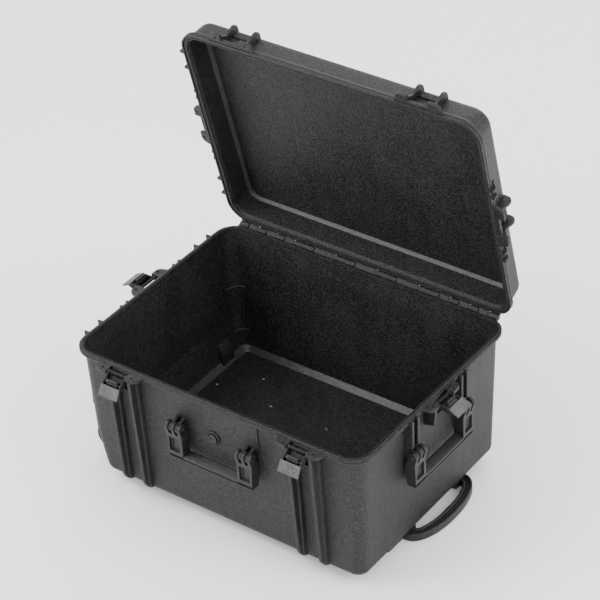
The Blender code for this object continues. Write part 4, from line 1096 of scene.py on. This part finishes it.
def build_hook(name, pivot, opening):
    """Black hook on its trunnions, with a curled nose and three thin webs."""
    place = pivot @ Matrix.Translation((0, -0.001, 0.019)) @ Matrix.Rotation(HOOK_TURN * opening, 4, "X")
    body = "hook_" + name
    outline = rounded([(-0.003, 0.0042, 0.001), (0.0024, 0.0042, 0.0014), (0.0026, -0.0052, 0.001),
                       (-0.0096, -0.0053, 0.0006), (-0.0096, -0.0022, 0.001), (-0.0046, -0.0014, 0.0012)],
                      4)
    piece("hook_nose_" + name, sideways(outline, -0.012, 0.012), body, "trim", place, bevel=0.0005,
          replaces=("latch_hook_" + name,))
    web = rounded([(0.002, 0.003, 0.0), (0.0042, 0.002, 0.001), (0.0042, -0.004, 0.001),
                   (0.002, -0.0048, 0.0)], 3)
    for side, label in ((-0.008, "a"), (0.0, "b"), (0.008, "c")):
        piece("hook_web_%s_%s" % (name, label), sideways(web, side - 0.0008, side + 0.0008), body, "trim",
              place, bevel=0.0003)
    trunnion = drum([(0.0, -0.0172), (0.0018, -0.0172), (0.0018, 0.0172), (0.0, 0.0172)], 20)
    piece("hook_trunnion_" + name, trunnion, body, "steel", place, bevel=0.0,
          material=LOOKS["dark_steel"])


# ---------------------------------------------------------------- carrying handles


def build_handle(name):
    """Folding handle: two windowed legs, a grooved bar and ringed knuckles."""
    matrix = station(STATIONS[name])
    place = matrix @ Matrix.Translation((0, -HANDLE_PIVOT_OUT, HANDLE_PIVOT_UP))
    body = "handle_" + name
    inner = HANDLE_INNER_OUT - HANDLE_PIVOT_OUT
    outer = HANDLE_OUTER_OUT - HANDLE_PIVOT_OUT
    inside = HANDLE_HALF - HANDLE_LEG
    bar = rounded([(inner + 0.002, -HANDLE_DROP, 0.003), (outer - 0.0004, -HANDLE_DROP, 0.001),
                   (outer, -HANDLE_DROP + 0.002, 0.0004), (outer - 0.0034, -HANDLE_DROP + 0.0024, 0.0003),
                   (outer - 0.0034, -HANDLE_DROP + 0.0046, 0.0003), (outer, -HANDLE_DROP + 0.005, 0.0004),
                   (outer, -HANDLE_DROP + 0.0092, 0.0016), (outer - 0.006, -HANDLE_DROP + 0.0118, 0.002),
                   (inner + 0.004, -HANDLE_DROP + 0.0156, 0.003), (inner, -HANDLE_DROP + 0.01, 0.004)], 4)
    bar_object = mesh_object("handle_bar_" + name, sideways(bar, -HANDLE_HALF + 0.0028,
                                                            HANDLE_HALF - 0.0028), place)
    dress(bar_object, body, "trim", bevel=0.0008, segments=3, replaces=(body,))
    for sign, half in HALVES:
        profile = rounded([(inner + 0.001, -HANDLE_DROP + 0.005, 0.0), (outer, -HANDLE_DROP + 0.005, 0.0),
                           (outer, -0.015, 0.003), (LUG_RADIUS - 0.0006, -0.005, 0.002),
                           (0.0, -0.005, 0.0), (-LUG_RADIUS + 0.001, -0.005, 0.002),
                           (inner, -0.022, 0.004)], 4)
        low, high = sorted((sign * inside, sign * HANDLE_HALF))
        leg = sideways(profile, low, high)
        for vert in leg.verts:
            if abs(vert.co.x) > inside + 0.02 and vert.co.z < -0.03:
                vert.co.x -= sign * 0.0026
        made = mesh_object("handle_leg_%s_%s" % (name, half), leg, place)
        window = eased(rectangle(low + 0.006, high - 0.0068, -HANDLE_DROP + 0.0155, -0.0215), 0.0015, 3)
        cutters = [mesh_object("window", outward(window, outer - 0.005, outer + 0.01), place)]
        for side in lug_sides():
            if side * sign > 0:
                reach = LUG_WIDTH / 2 + LUG_GAP
                slot = rectangle(-0.03, 0.03, -LUG_RADIUS - 0.0035, 0.02)
                cutters.append(mesh_object("slot", sideways(slot, side - reach, side + reach), place))
        combine(made, cutters, "DIFFERENCE")
        dress(made, body, "trim", bevel=0.0007, segments=3)
        edges = [low]
        for side in sorted(one for one in lug_sides() if one * sign > 0):
            edges += [side - LUG_WIDTH / 2 - LUG_GAP, side + LUG_WIDTH / 2 + LUG_GAP]
        edges.append(high)
        for number in range(3):
            start, end = edges[2 * number], edges[2 * number + 1]
            ring = [(0.0028, start), (KNUCKLE_RING - 0.0012, start), (KNUCKLE_RING, start + 0.0012),
                    (KNUCKLE_RING, end - 0.0012), (KNUCKLE_RING - 0.0012, end), (0.0028, end)]
            piece("handle_knuckle_%s_%s%d" % (name, half, number + 1), turned(ring, 40), body, "trim",
                  place, bevel=0.0004)
        head = drum([(0.0, 0.0), (0.0044, 0.0), (0.0044, 0.001), (0.003, 0.0016), (0.0, 0.0016)], 28)
        head = move(mirrored(head, sign), sign * (HANDLE_HALF - 0.0002))
        piece("handle_cap_%s_%s" % (name, half), head, body, "trim", place, bevel=0.0003)
        divider = eased(rectangle(low + 0.01, low + 0.0112, -HANDLE_DROP + 0.0165, -0.0225), 0.0006, 2)
        piece("handle_divider_%s_%s" % (name, half), outward(divider, outer - 0.0054, outer - 0.003),
              body, "trim", place, bevel=0.0002)
        repaint("handle_pin_%s_%s" % (name, half), "steel")


# ---------------------------------------------------------------- valve, trolley, screws, wheels


def build_valve():
    """Pressure valve: ringed boss, knurled body and a slotted cap."""
    low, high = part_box("pressure_valve_body")
    middle = (low + high) / 2
    place = Matrix.Translation((middle.x, 0, middle.z))
    face = -low.y
    wall = HALF_Y + wall_out(middle.z - RIM_Z)
    ring = rounded([(0.01, wall - 0.001, 0.0), (0.0143, wall - 0.001, 0.0),
                    (0.0143, wall + 0.003, 0.0009), (0.0122, wall + 0.0044, 0.0008),
                    (0.01, wall + 0.0026, 0.0006)], 4)
    piece("valve_ring", turned(ring, 56, "out"), "base", "trim", place, bevel=0.0,
          replaces=("pressure_valve_body",))
    cap = [(0.0, wall - 0.001), (0.0094, wall - 0.001), (0.0094, face - 0.0006), (0.0088, face + 0.0002),
           (0.0064, face + 0.0002), (0.006, face - 0.0007), (0.0, face - 0.0007)]
    made = mesh_object("valve_cap", drum(cap, 56, "out"), place)
    slot = outward(rectangle(-0.005, 0.005, -0.0007, 0.0007), face - 0.0018, face + 0.002)
    combine(made, [mesh_object("slot", slot, place)], "DIFFERENCE")
    dress(made, "base", "trim", bevel=0.0003, replaces=("pressure_valve_cap",))


def build_grip():
    """Trolley grip: rounded D with a sunk channel and a rib along its top."""
    low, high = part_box("trolley_grip")
    centre_y = (low.y + high.y) / 2
    half = (high.y - low.y) / 2
    start = low.x + 0.02
    reach = high.x - start

    def arc(offset):
        """Outline of the D, moved inwards by an offset."""
        points = [(low.x, centre_y - half + offset)]
        for step in range(41):
            turn = -math.pi / 2 + math.pi * step / 40
            x = start + (reach - offset) * abs(math.cos(turn)) ** (2 / 2.2)
            y = (half - offset) * math.copysign(abs(math.sin(turn)) ** (2 / 2.2), math.sin(turn))
            points.append((x, centre_y + y))
        points.append((low.x, centre_y + half - offset))
        return points

    def band(outer, inner, bottom, top):
        """Flat D-shaped band between two offsets."""
        return loft([[Vector((*far, bottom)), Vector((*near, bottom)), Vector((*near, top)),
                      Vector((*far, top))] for far, near in zip(arc(outer), arc(inner))])

    piece("grip_core", band(0.001, 0.0195, low.z + 0.001, high.z - 0.004), "trolley", "trim",
          bevel=0.0012, segments=3, replaces=("trolley_grip",))
    for name, outer, inner in (("outer", 0.0, 0.0058), ("inner", 0.014, 0.02)):
        piece("grip_rim_" + name, band(outer, inner, low.z, high.z), "trolley", "trim", bevel=0.002,
              segments=4)
    piece("grip_rib", band(0.0088, 0.0108, high.z - 0.00415, high.z - 0.002), "trolley", "trim")
    for end in FRONT_REAR:
        tube_low, tube_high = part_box("trolley_inner_tube_" + end)
        y = (tube_low.y + tube_high.y) / 2
        collar = eased(rectangle(y - 0.0145, y + 0.0145, low.z + 0.0002, high.z - 0.0002), 0.003, 4)
        piece("grip_collar_" + end, lengthwise(collar, low.x, low.x + 0.0215), "trolley", "trim",
              bevel=0.0012, segments=3)
    repaint("trolley_button", "latch_grey")


def build_screws():
    """Pan-head screws with a cross recess in the floor."""
    for number in SCREWS:
        node = "floor_screw_%d" % number
        low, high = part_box(node)
        x, y = (low.x + high.x) / 2, (low.y + high.y) / 2
        top = high.z
        head_low = GROUND_GAP + FLOOR_THICKNESS - SCREW_SEAT_DEPTH + GAP
        head = drum([(0.0, low.z), (0.0019, low.z + 0.001), (0.0019, head_low),
                     (0.0045, head_low + 0.0001), (0.0045, head_low + 0.0008), (0.0036, top - 0.0005),
                     (0.0018, top), (0.0, top)], 28, "up")
        made = mesh_object("screw_" + str(number), move(head, x, y))
        arms = [mesh_object("cross", plan(rectangle(x - long, x + long, y - wide, y + wide), top - 0.0012,
                                          top + 0.002)) for long,
                wide in ((0.0022, 0.0004), (0.0004, 0.0022))]
        combine(made, arms, "DIFFERENCE")
        dress(made, "base", "steel", bevel=0.0, replaces=(node,), material=LOOKS["screw_steel"])


def build_wheel(end):
    """Wheel: grooved tyre and a ribbed hub on its axle."""
    low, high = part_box("tyre_" + end)
    centre = (low + high) / 2
    radius = (high.z - low.z) / 2
    half = (high.y - low.y) / 2
    body = "wheel_" + end
    place = Matrix.Translation(centre) @ Matrix.Rotation(math.pi / 2, 4, "Z")
    tyre = rounded([(0.0223, -half + 0.001, 0.0004), (radius - 0.003, -half, 0.002),
                    (radius, -half + 0.0042, 0.002), (radius, -0.0052, 0.0004),
                    (radius - 0.0012, -0.0046, 0.0003), (radius - 0.0012, -0.0034, 0.0003),
                    (radius, -0.0028, 0.0004), (radius, 0.0028, 0.0004),
                    (radius - 0.0012, 0.0034, 0.0003), (radius - 0.0012, 0.0046, 0.0003),
                    (radius, 0.0052, 0.0004), (radius, half - 0.0042, 0.002),
                    (radius - 0.003, half, 0.002), (0.0223, half - 0.001, 0.0004)], 3)
    piece("tyre_rubber_" + end, turned(tyre, 72), body, "rubber", place, bevel=0.0,
          replaces=("tyre_" + end,))
    disc = rounded([(0.0046, -0.0125, 0.0006), (0.009, -0.0125, 0.001), (0.01, -0.004, 0.002),
                    (0.0185, -0.004, 0.002), (0.0195, -0.0105, 0.0008), (0.0218, -0.0105, 0.0004),
                    (0.0218, 0.0105, 0.0004), (0.0195, 0.0105, 0.0008), (0.0185, 0.004, 0.002),
                    (0.01, 0.004, 0.002), (0.009, 0.0125, 0.001), (0.0046, 0.0125, 0.0006)], 4)
    piece("wheel_disc_" + end, turned(disc, 60), body, "trim", place, bevel=0.0,
          replaces=("wheel_hub_" + end,))
    for number in range(6):
        turn = Matrix.Rotation(math.radians(60 * number), 4, "X")
        web = sideways(rounded([(0.0085, -0.001, 0.0), (0.02, -0.0008, 0.0), (0.02, 0.0008, 0.0),
                                (0.0085, 0.001, 0.0)], 2), -0.0098, 0.0098)
        piece("wheel_web_%s_%d" % (end, number + 1), web, body, "trim", place @ turn, bevel=0.0004)
    axle_low, axle_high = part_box("axle_" + end)
    reach = (axle_high.y - axle_low.y) / 2
    for sign, side in ((-1, "in"), (1, "out")):
        head = drum([(0.0, -0.001), (0.0052, -0.001), (0.0052, 0.0004), (0.0036, 0.0014), (0.0, 0.0016)],
                    28)
        head = move(mirrored(head, sign), sign * (reach - 0.0006))
        piece("axle_head_%s_%s" % (end, side), head, "base", "steel", place, bevel=0.0)
    repaint("axle_" + end, "steel")


def dress_tray():
    """Materials of the CAD pieces that are shown as they are."""
    repaint("trolley_tray", "trim")
    repaint("hinge_pin", "dark_steel")
    for end in FRONT_REAR:
        repaint("trolley_outer_tube_" + end, "aluminium")
        repaint("trolley_inner_tube_" + end, "aluminium")


# ---------------------------------------------------------------- stage


def build_floor():
    bm = bmesh.new()
    corners = [bm.verts.new((x, y, 0.0)) for x, y in ((-9, -9), (9, -9), (9, 9), (-9, 9))]
    bm.faces.new(corners)
    made = mesh_object("studio_floor", bm)
    made.data.materials.append(floor_material())


def aim(made, target):
    """Turn an object's -Z towards a point."""
    made.rotation_euler = (Vector(target) - made.location).to_track_quat("-Z", "Y").to_euler()


def area_light(name, place, target, size, power):
    light = bpy.data.lights.new(name, "AREA")
    light.shape = "RECTANGLE"
    light.size, light.size_y = size
    light.energy = power
    made = bpy.data.objects.new(name, light)
    made.location = place
    bpy.context.scene.collection.objects.link(made)
    aim(made, target)


def build_lights():
    """Broad soft light from above and both sides, in a bright room."""
    for light in LIGHTS:
        area_light(*light)
    world = bpy.data.worlds.new("studio_room")
    world.use_nodes = True
    background = world.node_tree.nodes["Background"]
    background.inputs["Color"].default_value = (1.0, 1.0, 1.0, 1.0)
    background.inputs["Strength"].default_value = ROOM_LIGHT
    bpy.context.scene.world = world


def build_camera():
    """Camera at the photograph's viewing angle: above and to the front right, slightly rolled."""
    yaw, pitch, roll = (math.radians(angle) for angle in CAMERA_YAW_PITCH_ROLL)
    back = Vector((math.sin(yaw) * math.cos(pitch), -math.cos(yaw) * math.cos(pitch), math.sin(pitch)))
    level = (-back).cross(Vector((0, 0, 1))).normalized()
    upwards = level.cross(-back)
    right = level * math.cos(roll) + upwards * math.sin(roll)
    top = upwards * math.cos(roll) - level * math.sin(roll)
    lens = bpy.data.cameras.new("view")
    lens.sensor_width = CAMERA_SENSOR
    lens.lens = CAMERA_LENS
    lens.clip_end = 60.0
    camera = bpy.data.objects.new("view", lens)
    turn = Matrix((right, top, back)).transposed().to_4x4()
    camera.matrix_world = Matrix.Translation(CAMERA_PLACE) @ turn
    bpy.context.scene.collection.objects.link(camera)
    bpy.context.scene.camera = camera


def build():
    build_camera()
    build_base_shell()
    corner_ledges()
    base_wall_details()
    base_handle_lugs()
    build_lid_shell()
    build_lid_seal()
    lid_wall_details()
    build_hinge()
    for name, place in LATCH_PLACES.items():
        base_latch_mounts(name, station(*place))
        lid_latch_mounts(name, station(*place))
        build_latch(name)
    for name in STATIONS:
        build_handle(name)
    build_valve()
    build_grip()
    build_screws()
    for end in FRONT_REAR:
        build_wheel(end)
    dress_tray()
    build_floor()
    build_lights()


def write_sizes():
    """Define a helper that turns box corners into plain floats; no box is recorded."""
    def plain(bounds):
        return [[float(value) for value in corner] for corner in bounds]


build()
write_sizes()
